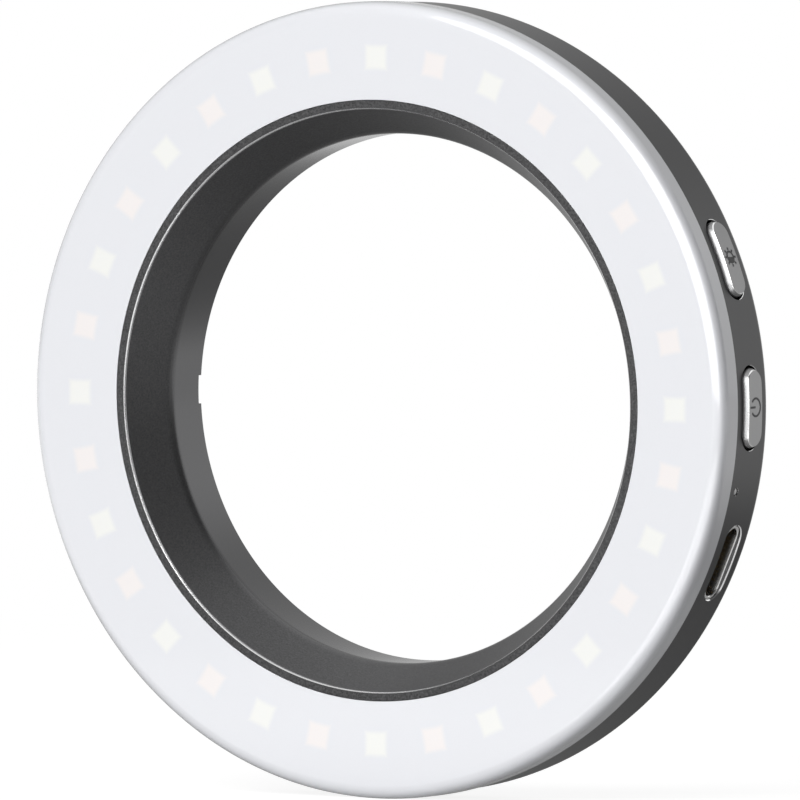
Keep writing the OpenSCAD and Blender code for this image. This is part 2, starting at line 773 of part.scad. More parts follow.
// Pouch cell with rounded long edges and a sealed edge towards the bore
module battery_cell(index) {
    body_w = cell_w - cell_terrace;
    color([0.72, 0.73, 0.76]) upright() at_radial(cell_angles[index - 1], cell_x, cell_mid_z) {
        translate([cell_terrace + body_w / 2, cell_len / 2, 0]) rotate([90, 0, 0])
            linear_extrude(cell_len) round_rect(body_w, cell_t, cell_edge_r);
        block(0, 2 * cell_terrace, cell_len - 2 * cell_terrace, -cell_t / 6, cell_t / 6);
    }
}

// Foam pads that hold each cell between the back wall and the flange
module cell_pads() {
    pad_x = boss_r + slip_gap + cell_gap;
    pad_end_x = cell_x + cell_w - cell_edge_r;
    color([0.25, 0.25, 0.27]) upright() for (angle = cell_angles) rotate([0, 0, angle]) {
        block(pad_x, pad_end_x, cell_len / 2, back_in_z, cell_z);
        block(pad_x, pad_end_x, cell_len / 2, flange_z - pad_t, flange_z);
    }
}

// Tabs from each cell to the two leads
module cell_tabs() {
    tab_t = lead_d / 6;
    color([0.8, 0.78, 0.7]) upright() for (angle = cell_angles, side = [-1, 1])
        at_radial(angle, 0, cell_mid_z + side * lead_d * 2 / 3) translate([0, side * tab_offset, 0])
            block(lead_circle_r + lead_d / 2, cell_x, 2 * lead_d, -tab_t / 2, tab_t / 2);
}

// Lead that runs round the barrel past all the cells
module lead(z) {
    rotate([0, 0, lead_start]) rotate_extrude(angle = turn - 2 * lead_start)
        translate([lead_circle_r, z]) circle(d = lead_d);
}

// Lead to the positive tabs
module positive_lead() {
    color([0.75, 0.1, 0.08]) upright() lead(cell_mid_z + lead_d * 2 / 3);
}

// Lead to the negative tabs
module negative_lead() {
    color([0.06, 0.06, 0.06]) upright() lead(cell_mid_z - lead_d * 2 / 3);
}

diffuser();
inner_barrel();
housing();
mount_plate();
mount_magnets();
case_screws();
led_board();
cool_leds();
warm_leds();
reflector_sheet();
thermal_tape();
led_board_screws();
led_feed_pins();
main_board();
main_board_screws();
control_chips();
boost_inductor();
chip_capacitors();
usb_shell();
usb_tongue();
usb_contacts();
brightness_button();
power_button();
brightness_switch();
power_switch();
brightness_plunger();
power_plunger();
indicator_led();
light_pipe();
battery_socket();
battery_plug();
battery_cell(1);  // battery_cell_1
battery_cell(2);  // battery_cell_2
battery_cell(3);  // battery_cell_3
battery_cell(4);  // battery_cell_4
battery_cell(5);  // battery_cell_5
battery_cell(6);  // battery_cell_6
cell_pads();
cell_tabs();
positive_lead();
negative_lead();
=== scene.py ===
"""Ring video light that goes round a camera lens.

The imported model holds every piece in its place. This script gives the outer pieces their fine
edges and finishes, dresses the pieces inside, and sets them in a plain pale studio.
Sizes are in millimetres until a mesh is made. Heights are measured from the rear rim of the bore
towards the light face, and angles turn from +X towards +Z, in degrees. Cutters pass what they cut
by CLEAR.
"""

import logging
import math
from dataclasses import dataclass, field
from enum import Enum
from typing import Iterable, Optional, Sequence, Union

import bmesh
import bpy
from mathutils import Matrix, Vector


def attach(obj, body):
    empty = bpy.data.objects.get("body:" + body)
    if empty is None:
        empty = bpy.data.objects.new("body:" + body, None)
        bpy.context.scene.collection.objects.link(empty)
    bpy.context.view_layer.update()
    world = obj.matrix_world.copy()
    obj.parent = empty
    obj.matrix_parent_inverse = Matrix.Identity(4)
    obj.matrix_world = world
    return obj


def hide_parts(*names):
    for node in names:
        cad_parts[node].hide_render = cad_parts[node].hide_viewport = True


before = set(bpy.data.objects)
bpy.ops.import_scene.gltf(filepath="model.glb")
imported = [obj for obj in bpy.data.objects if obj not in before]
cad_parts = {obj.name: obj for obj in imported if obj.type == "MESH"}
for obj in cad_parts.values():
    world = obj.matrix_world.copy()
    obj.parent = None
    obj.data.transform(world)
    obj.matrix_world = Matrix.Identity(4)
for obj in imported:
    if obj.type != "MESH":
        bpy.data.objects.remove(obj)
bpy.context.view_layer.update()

LOG = logging.getLogger("ring_light")
MM = 0.001
FULL_TURN = 2 * math.pi
DEGREES = 360
RIGHT_ANGLE = 90
QUARTERS = (45, 135, 225, 315)
RING_STEPS = 384
CLEAR = 1.0
# How far beyond an arc's ends its holding points lie, as a share of its radius.
ARC_HOLD = 0.12
# Edges that turn less than this shade smooth.
SMOOTH_LIMIT = math.radians(28)
# Lengths in metres under which points merge, faces count as slivers, and a turned ring closes.
DOUBLES, SLIVER, RING_CLOSURE = 1e-7, 1e-8, 1e-6
Object = bpy.types.Object
Material = bpy.types.Material
Socket = bpy.types.NodeSocket
Tree = bpy.types.NodeTree
Outputs = bpy.types.NodeOutputs
Colour = tuple[float, float, float]
Span = tuple[float, float]
Outline = Sequence[tuple[float, float]]
Value = Union[float, int, tuple, Socket]
Layers = tuple[Socket, Value, Socket]


class Body(Enum):
    """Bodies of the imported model."""

    ROOT = "root"
    BRIGHTNESS = "brightness_button"
    POWER = "power_button"


class Slot(Enum):
    """Material slots of the record, named for the new pieces."""

    DIFFUSER = "diffuser"
    BARREL = "barrel"
    HOUSING = "housing"
    MOUNT_PLATE = "mount_plate"
    CASE_SCREW = "case_screw"
    COOL_LED = "cool_led"
    WARM_LED = "warm_led"
    PORT_SHELL = "port_shell"
    PORT_TONGUE = "port_tongue"
    GOLD_PIN = "gold_pin"
    BUTTON = "button"
    LIGHT_PIPE = "light_pipe"


@dataclass(frozen=True)
class RingSizes:
    """Radii and heights that the pieces of the ring share."""

    bore: float = 29.8
    spigot: float = 31.0
    tube: float = 31.8
    mouth: float = 32.8
    lip: float = 33.8
    hub: float = 34.8
    boss: float = 35.0
    flange: float = 42.6
    wall_in: float = 42.7
    band_in: float = 43.1
    tongue_out: float = 43.8
    outer: float = 44.5
    face: float = 44.85
    plate_top: float = 0.5
    back: float = 1.0
    back_in: float = 2.4
    boss_top: float = 2.55
    throat: float = 6.5
    flange_low: float = 7.5
    flange_top: float = 8.5
    seam: float = 8.6
    board_top: float = 9.7
    led_top: float = 10.35
    face_in: float = 10.8
    front: float = 12.0
    slip: float = 0.1
    seat: float = 0.03
    screw_circle: float = 40.05
    diode_circle: float = 38.625
    lip_chamfer: float = 0.12


RING = RingSizes()


def at_ring(angle: float, out: float, along: float, height: float) -> Vector:
    """Turns a place beside a radial line of the ring into metres in the model's frame.

    Args:
        angle: Angle of the radial line.
        out: Distance along that line from the ring's axis.
        along: Distance square to it, round the ring towards greater angles.
        height: Height above the rear rim.

    Returns:
        The point in metres.
    """
    turn = math.radians(angle)
    x = out * math.cos(turn) - along * math.sin(turn)
    z = out * math.sin(turn) + along * math.cos(turn)
    return Vector((x, -height, z)) * MM


def towards(azimuth: float, elevation: float) -> Vector:
    """Direction in front of the ring, turned to its right and then up."""
    sideways, up = math.radians(azimuth), math.radians(elevation)
    return Vector((math.sin(sideways) * math.cos(up), -math.cos(sideways) * math.cos(up), math.sin(up)))


def spun(x: float, y: float, turn: float) -> tuple[float, float]:
    """Turns a point of an outline round its middle."""
    angle = math.radians(turn)
    return x * math.cos(angle) - y * math.sin(angle), x * math.sin(angle) + y * math.cos(angle)


@dataclass(frozen=True)
class Corner:
    """Corner of a turned profile, with the radius that blends it."""

    radius: float
    height: float
    blend: float = 0.0

    @property
    def place(self) -> Vector:
        """Radius and height."""
        return Vector((self.radius, self.height))


def rounded(corners: Sequence[Corner], steps: int = 6) -> list[Vector]:
    """Rounds the corners of a closed profile.

    Each arc is held by a point just outside its ends, so that flat faces shade flat.

    Args:
        corners: Corners in order round the profile.
        steps: Chords in the arc of a right angle.

    Returns:
        Points of radius and height.
    """
    points: list[Vector] = []
    for index, corner in enumerate(corners):
        here, blend = corner.place, corner.blend
        if blend <= 0:
            points.append(here)
            continue
        back = (corners[index - 1].place - here).normalized()
        ahead = (corners[(index + 1) % len(corners)].place - here).normalized()
        half = back.angle(ahead) / 2
        reach = blend / math.tan(half)
        centre = here + (back + ahead).normalized() * (blend / math.sin(half))
        sweep = (math.pi - 2 * half) * (1 if back.cross(ahead) < 0 else -1)
        start = here + back * reach - centre
        count = max(2, math.ceil(steps * abs(sweep) / (math.pi / 2)))
        turns = [Matrix.Rotation(sweep * step / count, 2) for step in range(count + 1)]
        reach += blend * ARC_HOLD
        points += [here + back * reach, *(centre + turn @ start for turn in turns), here + ahead * reach]
    return points


def arc(radius: float, start: float, end: float, steps: int) -> list[tuple[float, float]]:
    """Points of an arc between two angles, with both its ends."""
    turns = [math.radians(start + (end - start) * step / steps) for step in range(steps + 1)]
    return [(radius * math.cos(turn), radius * math.sin(turn)) for turn in turns]


def circle(radius: float, steps: int) -> list[tuple[float, float]]:
    """Round outline."""
    return arc(radius, 0, DEGREES, steps)[:-1]


def stadium(length: float, width: float, inset: float = 0.0, steps: int = 16) -> list[tuple[float, float]]:
    """Outline with half-round ends.

    Args:
        length: Overall length, along the first coordinate.
        width: Overall width.
        inset: Distance by which the outline is drawn in.
        steps: Chords in each half-round end and in each straight side.

    Returns:
        Points in order, as many for any inset.
    """
    reach, radius = (length - width) / 2, width / 2 - inset
    points = []
    for side in (1, -1):
        for step in range(steps + 1):
            turn = side * math.pi / 2 - math.pi * step / steps
            points.append((side * reach + radius * math.cos(turn), radius * math.sin(turn)))
        points += [(side * reach * (1 - 2 * step / steps), -side * radius) for step in range(1, steps)]
    return points


def radial(angle: float, height: float, outline: Outline, out: float, bent: bool = False) -> list[Vector]:
    """Outline square to a radial line at a distance from the axis, or bent round that axis."""
    return [at_ring(angle, math.sqrt(out**2 - x**2) if bent else out, x, height + y) for x, y in outline]


def make_object(name: str, points: Iterable[Vector], faces: Iterable[Sequence[int]]) -> Object:
    """Makes a mesh object whose place is in its mesh.

    Args:
        name: Name of the object.
        points: Points in metres.
        faces: Corners of each face.

    Returns:
        The object, in the scene.
    """
    mesh = bpy.data.meshes.new(name)
    mesh.from_pydata([tuple(point) for point in points], [], [tuple(face) for face in faces])
    made = bpy.data.objects.new(name, mesh)
    bpy.context.scene.collection.objects.link(made)
    return made


def tidy(piece: Object, turn_out: bool = True) -> Object:
    """Merges doubles, turns the faces outwards and shades the piece smooth up to its sharp edges.

    Args:
        piece: Object to tidy.
        turn_out: Whether the normals are worked out again.

    Returns:
        The same object.
    """
    work = bmesh.new()
    work.from_mesh(piece.data)
    bmesh.ops.remove_doubles(work, verts=work.verts, dist=DOUBLES)
    bmesh.ops.dissolve_degenerate(work, edges=work.edges, dist=SLIVER)
    if turn_out:
        bmesh.ops.recalc_face_normals(work, faces=work.faces)
        if work.calc_volume(signed=True) < 0:
            bmesh.ops.reverse_faces(work, faces=work.faces)
    work.to_mesh(piece.data)
    work.free()
    for face in piece.data.polygons:
        face.use_smooth = True
    piece.data.set_sharp_from_angle(angle=SMOOTH_LIMIT)
    piece.data.update()
    return piece


def skin(levels: int, count: int) -> list[tuple[int, ...]]:
    """Faces between a row of outlines with as many points each.

    Args:
        levels: Number of outlines.
        count: Points in each.

    Returns:
        The faces, level by level.
    """
    faces = []
    for low in range(0, (levels - 1) * count, count):
        for index in range(count):
            after = low + (index + 1) % count
            faces.append((low + index, after, after + count, low + index + count))
    return faces


def loft(name: str, rings: Sequence[Sequence[Vector]]) -> Object:
    """Skins a row of outlines and closes it at both ends.

    Args:
        name: Name of the object.
        rings: Outlines in order, with as many points each.

    Returns:
        The object, with its faces turned outwards.
    """
    count, levels = len(rings[0]), len(rings)
    ends = [tuple(range(count)), tuple(range((levels - 1) * count, levels * count))]
    points = [point for ring in rings for point in ring]
    return tidy(make_object(name, points, skin(levels, count) + ends))


def drum(name: str, angle: float, radius: float, levels: Outline, steps: int = 40) -> Object:
    """Round solid along the ring's depth, whose size is given at each of a row of heights."""
    rings = [[at_ring(angle, radius + x, y, high) for x, y in circle(size, steps)] for high, size in levels]
    return loft(name, rings)


def rods(angles: Iterable[float], radius: float, low: float, high: float, size: float) -> list[Object]:
    """Equal rods along the ring's depth, between two heights."""
    return [drum("rod", angle, radius, ((low, size), (high, size))) for angle in angles]


def brick(angle: float, outs: Span, width: float, heights: Span) -> Object:
    """Block centred on a radial line.

    Args:
        angle: Angle of the line.
        outs: Distances from the axis that it lies between.
        width: Width round the ring.
        heights: Heights that it lies between.

    Returns:
        The block.
    """
    (low, high), half = heights, width / 2
    outline = ((-half, low), (half, low), (half, high), (-half, high))
    return loft("brick", [radial(angle, 0, outline, out) for out in outs])


def fuse(name: str, pieces: Sequence[Object]) -> Object:
    """Puts the meshes of several objects into a new one and removes them.

    Args:
        name: Name of the new object.
        pieces: Objects to take.

    Returns:
        The new object, whose faces follow their order.
    """
    work = bmesh.new()
    for piece in pieces:
        work.from_mesh(piece.data)
    for piece in pieces:
        bpy.data.objects.remove(piece)
    made = make_object(name, [], [])
    work.to_mesh(made.data)
    work.free()
    return made


def bake_modifiers(piece: Object) -> Object:
    """Replaces a piece's mesh by its evaluated one and removes its modifiers.

    Args:
        piece: Object to bake.

    Returns:
        The same object.
    """
    bpy.context.view_layer.update()
    graph = bpy.context.evaluated_depsgraph_get()
    mesh = bpy.data.meshes.new_from_object(piece.evaluated_get(graph))
    piece.modifiers.clear()
    piece.data = mesh
    return piece


def combine(piece: Object, tools: Sequence[Object], operation: str = "DIFFERENCE") -> Object:
    """Cuts tools out of a piece, or adds them to it, and removes the tools.

    Args:
        piece: Object to change.
        tools: Closed objects that don't overlap each other.
        operation: DIFFERENCE or UNION.

    Returns:
        The piece.
    """
    holder = fuse("tools", tools)
    modifier = piece.modifiers.new("combine", "BOOLEAN")
    modifier.operation = operation
    modifier.solver = "EXACT"
    modifier.object = holder
    bake_modifiers(piece)
    bpy.data.objects.remove(holder)
    return tidy(piece, turn_out=False)


def emptied(owner: Union[Material, bpy.types.World]) -> Tree:
    """Empties the node tree of a material or world.

    Args:
        owner: Material or world.

    Returns:
        Its tree.
    """
    owner.use_nodes = True
    owner.node_tree.nodes.clear()
    return owner.node_tree


class Wiring:
    """Adds nodes to a tree and joins them up."""

    def __init__(self, tree: Tree) -> None:
        """Keeps the tree that the nodes go into."""
        self.tree = tree

    def socket(self, name: str, kind: str, value: Optional[Value] = None, way: str = "INPUT") -> str:
        """Adds a socket to the tree's interface.

        Args:
            name: Name of the socket.
            kind: Its type without the NodeSocket prefix.
            value: Default of an input.
            way: INPUT or OUTPUT.

        Returns:
            The socket's identifier.
        """
        made = self.tree.interface.new_socket(name=name, in_out=way, socket_type="NodeSocket" + kind)
        if value is not None:
            made.default_value = value
        return made.identifier

    def add(self, kind: str, inputs: Optional[dict] = None, **settings: object) -> bpy.types.Node:
        """Adds a node with its settings and what feeds its inputs.

        Args:
            kind: Type of the node.
            inputs: Sockets or values by the input's name or number.
            **settings: Properties of the node.

        Returns:
            The node.
        """
        node = self.tree.nodes.new(kind)
        for key, value in settings.items():
            setattr(node, key, value)
        for key, value in (inputs or {}).items():
            if isinstance(value, Socket):
                self.tree.links.new(value, node.inputs[key])
            else:
                node.inputs[key].default_value = value
        return node

    def maths(self, operation: str, *values: Value) -> Socket:
        """Adds a Math node and returns its result."""
        return self.add("ShaderNodeMath", dict(enumerate(values)), operation=operation).outputs[0]

    def times(self, first: Value, second: Value) -> Socket:
        """Multiplies two values."""
        return self.maths("MULTIPLY", first, second)

    def plus(self, first: Value, second: Value) -> Socket:
        """Adds two values."""
        return self.maths("ADD", first, second)

    def minus(self, first: Value, second: Value) -> Socket:
        """Takes the second value from the first."""
        return self.maths("SUBTRACT", first, second)

    def over(self, first: Value, second: Value) -> Socket:
        """Divides the first value by the second."""
        return self.maths("DIVIDE", first, second)

    def mix(self, factor: Value, first: Value, second: Value) -> Socket:
        """Mixes two values by a factor."""
        return self.add("ShaderNodeMix", {0: factor, 2: first, 3: second}, data_type="FLOAT").outputs[0]

    def blend(self, factor: Value, first: Union[Colour, Socket], second: Colour) -> Socket:
        """Mixes two colours by a factor."""
        first = first if isinstance(first, Socket) else (*first, 1)
        return self.add("ShaderNodeMix", {0: factor, 6: first, 7: (*second, 1)}, data_type="RGBA").outputs[2]

    def scaled(self, colour: Value, shade: Value) -> Socket:
        """Multiplies a colour or vector by a value."""
        return self.add("ShaderNodeVectorMath", {0: colour, "Scale": shade}, operation="SCALE").outputs[0]

    def fade(self, value: Value, start: Value, end: Value) -> Socket:
        """Runs smoothly from 0 where the value is at start to 1 where it is at end."""
        inputs = {"Value": value, "From Min": start, "From Max": end}
        return self.add("ShaderNodeMapRange", inputs, interpolation_type="SMOOTHSTEP").outputs["Result"]

    def zone(self, *bounds: tuple[Value, Span]) -> Socket:
        """Multiplies fades together.

        Args:
            *bounds: A value and the span of its fade for each.

        Returns:
            A value of 1 where all of them have run to their end.
        """
        mask, *others = [self.fade(value, *span) for value, span in bounds]
        for other in others:
            mask = self.times(mask, other)
        return mask

    def parts(self, vector: Value) -> Outputs:
        """Takes a vector apart."""
        return self.add("ShaderNodeSeparateXYZ", {0: vector}).outputs

    def seen(self, *rays: str) -> Socket:
        """Masks the rays that are named, such as those of the camera.

        Args:
            *rays: Outputs of the Light Path node.

        Returns:
            A value of 1 for such a ray and of 0 for any other.
        """
        path, mask = self.add("ShaderNodeLightPath").outputs, 0.0
        for ray in rays:
            mask = self.maths("MAXIMUM", mask, path[ray])
        return mask


class Recipe(Wiring):
    """Geometry Nodes tree that works on a piece, with inputs that are set by identifier."""

    def __init__(self, name: str, **inputs: tuple) -> None:
        """Starts the tree.

        Args:
            name: Name of the tree.
            **inputs: Type of each input, and its default if it has one.
        """
        super().__init__(bpy.data.node_groups.new(name, "GeometryNodeTree"))
        self.socket("Piece", "Geometry")
        self.keys = {key: self.socket(key, *kind) for key, kind in inputs.items()}
        self.socket("Made", "Geometry", way="OUTPUT")
        self.given = self.add("NodeGroupInput").outputs
        self.index = self.add("GeometryNodeInputIndex").outputs[0]

    def deliver(self, geometry: Socket) -> None:
        """Realizes what the tree has built, gives it its finish and puts it out.

        Args:
            geometry: What the tree has built.
        """
        real = self.add("GeometryNodeRealizeInstances", {"Geometry": geometry}).outputs[0]
        inputs = {"Geometry": real, "Material": self.given["Finish"]}
        self.add("NodeGroupOutput", {0: self.add("GeometryNodeSetMaterial", inputs).outputs[0]})

    def run(self, piece: Object, **values: Value) -> Object:
        """Runs the tree on a piece and keeps the result as its mesh.

        Args:
            piece: Object to work on.
            **values: Inputs by name.

        Returns:
            The same object.
        """
        modifier = piece.modifiers.new(self.tree.name, "NODES")
        modifier.node_group = self.tree
        for name, value in values.items():
            modifier[self.keys[name]] = value
        return bake_modifiers(piece)


class TurningRecipe(Recipe):
    """Turns a profile, with its radius in x and its height in z, into a closed ring."""

    def __init__(self) -> None:
        """Builds the tree: a grid whose columns follow the ring and whose rows follow the profile."""
        super().__init__("turned_ring", Steps=("Int", RING_STEPS), Finish=("Material",))
        profile, steps = self.given["Piece"], self.given["Steps"]
        count = self.add("GeometryNodeAttributeDomainSize", {"Geometry": profile}).outputs["Point Count"]
        row = self.plus(count, 1)
        grid = self.add("GeometryNodeMeshGrid", {"Vertices X": self.plus(steps, 1), "Vertices Y": row})
        place = self.maths("MODULO", self.maths("MODULO", self.index, row), count)
        column = self.maths("FLOOR", self.over(self.plus(self.index, 0.5), row))
        angle = self.over(self.times(column, FULL_TURN), steps)
        position = self.add("GeometryNodeInputPosition").outputs[0]
        inputs = {"Geometry": profile, "Value": position, "Index": place}
        sample = self.add("GeometryNodeSampleIndex", inputs, data_type="FLOAT_VECTOR", domain="POINT")
        point = self.parts(sample.outputs[0])
        turned = {
            "X": self.times(point["X"], self.maths("COSINE", angle)),
            "Y": self.times(point["Z"], -1),
            "Z": self.times(point["X"], self.maths("SINE", angle)),
        }
        position = self.add("ShaderNodeCombineXYZ", turned).outputs[0]
        inputs = {"Geometry": grid.outputs["Mesh"], "Position": position}
        moved = self.add("GeometryNodeSetPosition", inputs).outputs[0]
        merged = self.add("GeometryNodeMergeByDistance", {"Geometry": moved, "Distance": RING_CLOSURE})
        self.deliver(merged.outputs[0])


class RepeatingRecipe(Recipe):
    """Repeats a piece round the ring's axis or along a line."""

    def __init__(self) -> None:
        """Builds the tree: an instance of the piece on each of a row of points."""
        super().__init__(
            "repeated_piece", Count=("Int", 4), First=("Float", 0.0), Turn=("Float", 0.0),
            Step=("Vector", (0.0, 0.0, 0.0)), Finish=("Material",),
        )
        given = self.given
        inputs = {"Count": given["Count"], "Position": self.scaled(given["Step"], self.index)}
        points = self.add("GeometryNodePoints", inputs).outputs[0]
        angle = self.plus(given["First"], self.times(self.index, given["Turn"]))
        turned = self.add("ShaderNodeCombineXYZ", {"Y": self.times(angle, -1)}).outputs[0]
        inputs = {"Points": points, "Instance": given["Piece"], "Rotation": turned}
        self.deliver(self.add("GeometryNodeInstanceOnPoints", inputs).outputs[0])


class Workshop:
    """Turns and repeats the ring's pieces."""

    def __init__(self) -> None:
        """Builds both trees once."""
        self.turning, self.repeating = TurningRecipe(), RepeatingRecipe()

    def turn(self, name: str, corners: Iterable[tuple], finish: Material, steps: int = RING_STEPS) -> Object:
        """Turns a profile into a closed ring.

        Args:
            name: Name of the piece.
            corners: Radius, height and blend of each corner of the closed profile.
            finish: Material of the piece.
            steps: Steps round the ring.

        Returns:
            The ring.
        """
        profile = rounded([Corner(*corner) for corner in corners])
        piece = make_object(name, [Vector((point.x, 0, point.y)) * MM for point in profile], [])
        return tidy(self.turning.run(piece, Steps=steps, Finish=finish))

    def repeat(self, piece: Object, count: int, finish: Material, **inputs: Value) -> Object:
        """Repeats a piece by First and Turn in radians round the ring, or by Step in metres."""
        return tidy(self.repeating.run(piece, Count=count, Finish=finish, **inputs), turn_out=False)


class ShaderGroups:
    """Shader node groups that several finishes share."""

    def __init__(self) -> None:
        """Builds every group once."""
        self.ring, self.grain = self._ring_places(), self._blasted_grain()
        self.diodes, self.lathe = self._diode_squares(), self._lathe_lines()

    @staticmethod
    def _start(name: str, **inputs: Optional[float]) -> tuple[Wiring, Outputs]:
        """Starts a group.

        Args:
            name: Name of the group.
            **inputs: Default of each number, or None for a vector.

        Returns:
            The group's wiring and its inputs.
        """
        wire = Wiring(bpy.data.node_groups.new(name, "ShaderNodeTree"))
        for key, value in inputs.items():
            wire.socket(key, "Vector" if value is None else "Float", value)
        return wire, wire.add("NodeGroupInput").outputs

    @staticmethod
    def _end(wire: Wiring, **outputs: Socket) -> Tree:
        """Ends a group.

        Args:
            wire: Wiring of the group.
            **outputs: What the group puts out.

        Returns:
            The group.
        """
        for key in outputs:
            wire.socket(key, "Float", way="OUTPUT")
        wire.add("NodeGroupOutput", outputs)
        return wire.tree

    def _ring_places(self) -> Tree:
        """Radius and height in millimetres, and angle in turns, of a point on the ring.

        Returns:
            The group.
        """
        wire, given = self._start("ring_places", Vector=None)
        x, y, z = wire.parts(given["Vector"])
        square = wire.plus(wire.maths("POWER", x, 2), wire.maths("POWER", z, 2))
        radius = wire.times(wire.maths("SQRT", square), 1 / MM)
        angle = wire.over(wire.maths("ARCTAN2", z, x), FULL_TURN)
        return self._end(wire, Radius=radius, Height=wire.times(y, -1 / MM), Angle=angle)

    def _blasted_grain(self) -> Tree:
        """Fine grain of a blasted or moulded surface: a shade round 1 and a height from 0 to 1.

        Returns:
            The group.
        """
        speck_mean, speck_share, pit_mean, pit_share = 0.5, 2.0, 0.45, 0.6
        wire, given = self._start("blasted_grain", Vector=None, Size=0.1, Contrast=0.1)
        inputs = {"Vector": given["Vector"], "Scale": wire.over(1 / MM, given["Size"])}
        noise = wire.add("ShaderNodeTexNoise", {**inputs, "Detail": 2.0, "Roughness": 0.6}).outputs["Fac"]
        cells = wire.add("ShaderNodeTexVoronoi", inputs).outputs["Distance"]
        specks = wire.times(wire.minus(noise, speck_mean), speck_share)
        both = wire.plus(specks, wire.times(wire.minus(cells, pit_mean), pit_share))
        shade = wire.plus(1.0, wire.times(both, given["Contrast"]))
        return self._end(wire, Shade=shade, Height=wire.plus(0.5, both))

    def _diode_squares(self) -> Tree:
        """Soft squares where cool and warm diodes lie behind the light face.

        Returns:
            The group.
        """
        sizes = {"Circle": RING.diode_circle, "Count": 32.0, "Side": 3.0, "Softness": 0.4}
        wire, given = self._start("diode_squares", Radius=0.0, Angle=0.0, **sizes)
        pitch = wire.times(given["Angle"], given["Count"])
        nearest = wire.maths("ROUND", pitch)
        share = wire.over(wire.minus(pitch, nearest), given["Count"])
        along = wire.times(wire.times(share, FULL_TURN), given["Radius"])
        across = wire.minus(given["Radius"], given["Circle"])
        reach = wire.maths("MAXIMUM", wire.maths("ABSOLUTE", along), wire.maths("ABSOLUTE", across))
        half, soft = wire.times(given["Side"], 0.5), given["Softness"]
        square = wire.fade(reach, wire.plus(half, soft), wire.minus(half, soft))
        warm = wire.maths("PINGPONG", nearest, 1.0)
        cool = wire.minus(1.0, warm)
        return self._end(wire, Cool=wire.times(square, cool), Warm=wire.times(square, warm))

    def _lathe_lines(self) -> Tree:
        """Fine turned lines round the ring, as a height.

        Returns:
            The group.
        """
        wire, given = self._start("lathe_lines", Radius=0.0, Height=0.0, Pitch=0.12)
        run = wire.plus(given["Radius"], given["Height"])
        inputs = {"W": run, "Scale": wire.over(1.0, given["Pitch"]), "Detail": 3.0}
        noise = wire.add("ShaderNodeTexNoise", inputs, noise_dimensions="1D")
        return self._end(wire, Lines=noise.outputs["Fac"])


class Paint(Wiring):
    """Nodes of one material, with the shared groups at hand."""

    def __init__(self, tree: Tree, groups: ShaderGroups) -> None:
        """Starts from the object's coordinates.

        Args:
            tree: Tree of the material.
            groups: Shared node groups.
        """
        super().__init__(tree)
        self.groups = groups
        self.place = self.add("ShaderNodeTexCoord").outputs["Object"]

    def group(self, tree: Tree, **inputs: Value) -> Outputs:
        """Adds a shared group and gives its outputs."""
        return self.add("ShaderNodeGroup", inputs, node_tree=tree).outputs

    def ring(self) -> Outputs:
        """Gives the place on the ring."""
        return self.group(self.groups.ring, Vector=self.place)

    def grained(self, size: float, contrast: Value) -> Outputs:
        """Gives the shared grain at a size in millimetres."""
        return self.group(self.groups.grain, Vector=self.place, Size=size, Contrast=contrast)


@dataclass(frozen=True)
class Finish:
    """Plain finish with a fine grain.

    Attributes:
        name: Name of the material.
        colour: Base colour.
        roughness: Roughness between the grains.
        metallic: 1 on bare or anodised metal.
        grain: Size of a grain in millimetres.
        contrast: How far the grain changes the colour.
        relief: Depth of the grain in millimetres.
        coat: Weight of a clear coat.
    """

    name: str
    colour: Colour
    roughness: float = 0.5
    metallic: float = 0.0
    grain: float = 0.1
    contrast: float = 0.08
    relief: float = 0.004
    coat: float = 0.0

    def layers(self, paint: Paint) -> Layers:
        """Builds what changes over the surface.

        Args:
            paint: Nodes of the material.

        Returns:
            Its colour, its roughness and the height of its relief from 0 to 1.
        """
        shade, height = paint.grained(self.grain, self.contrast)
        return paint.scaled(self.colour, shade), paint.times(shade, self.roughness), height

    def material(self, groups: ShaderGroups) -> Material:
        """Builds the material.

        Args:
            groups: Shared node groups.

        Returns:
            The material.
        """
        material = bpy.data.materials.new(self.name)
        material.diffuse_color = (*self.colour, 1)
        paint = Paint(emptied(material), groups)
        colour, rough, height = self.layers(paint)
        inputs = {"Height": height, "Distance": self.relief * MM, "Strength": 1.0}
        inputs = {
            "Base Color": colour, "Metallic": self.metallic, "Roughness": rough, "Coat Weight": self.coat,
            "Normal": paint.add("ShaderNodeBump", inputs).outputs[0],
        }
        shader = paint.add("ShaderNodeBsdfPrincipled", inputs)
        paint.add("ShaderNodeOutputMaterial", {"Surface": shader.outputs[0]})
        return material


@dataclass(frozen=True)
class MilkyFinish(Finish):
    """Milky moulding of the diffuser, with the diodes showing faintly through its face and painted shade on
    its side band.
    """

    cool: Colour = (0.92, 0.925, 0.9)
    warm: Colour = (0.925, 0.888, 0.88)
    square: float = 2.6
    softness: float = 0.4
    face_rise: Span = (RING.front - 0.3, RING.front - 0.1)
    # Painted shade on the side band: it runs in over these heights and leaves this share of the colour.
    painted_shade_fall: Span = (RING.front - 0.2, RING.front - 0.9)
    band_painted_shade: float = 0.84

    def layers(self, paint: Paint) -> Layers:
        """Tints the squares of the diodes on the face and paints shade on the side band, darker towards the
        seam.

        Args:
            paint: Nodes of the material.

        Returns:
            Colour, roughness and height, as in Finish.
        """
        radius, height, angle = paint.ring()
        sizes = {"Side": self.square, "Softness": self.softness}
        cool, warm = paint.group(paint.groups.diodes, Radius=radius, Angle=angle, **sizes)
        facing = paint.fade(height, *self.face_rise)
        colour = paint.blend(paint.times(cool, facing), self.colour, self.cool)
        colour = paint.blend(paint.times(warm, facing), colour, self.warm)
        shade, relief = paint.grained(self.grain, self.contrast)
        # Painted shade: the side band darkens from the front edge towards the seam.
        band = paint.times(paint.fade(height, *self.painted_shade_fall), 1 - self.band_painted_shade)
        return paint.scaled(colour, paint.minus(shade, band)), self.roughness, relief


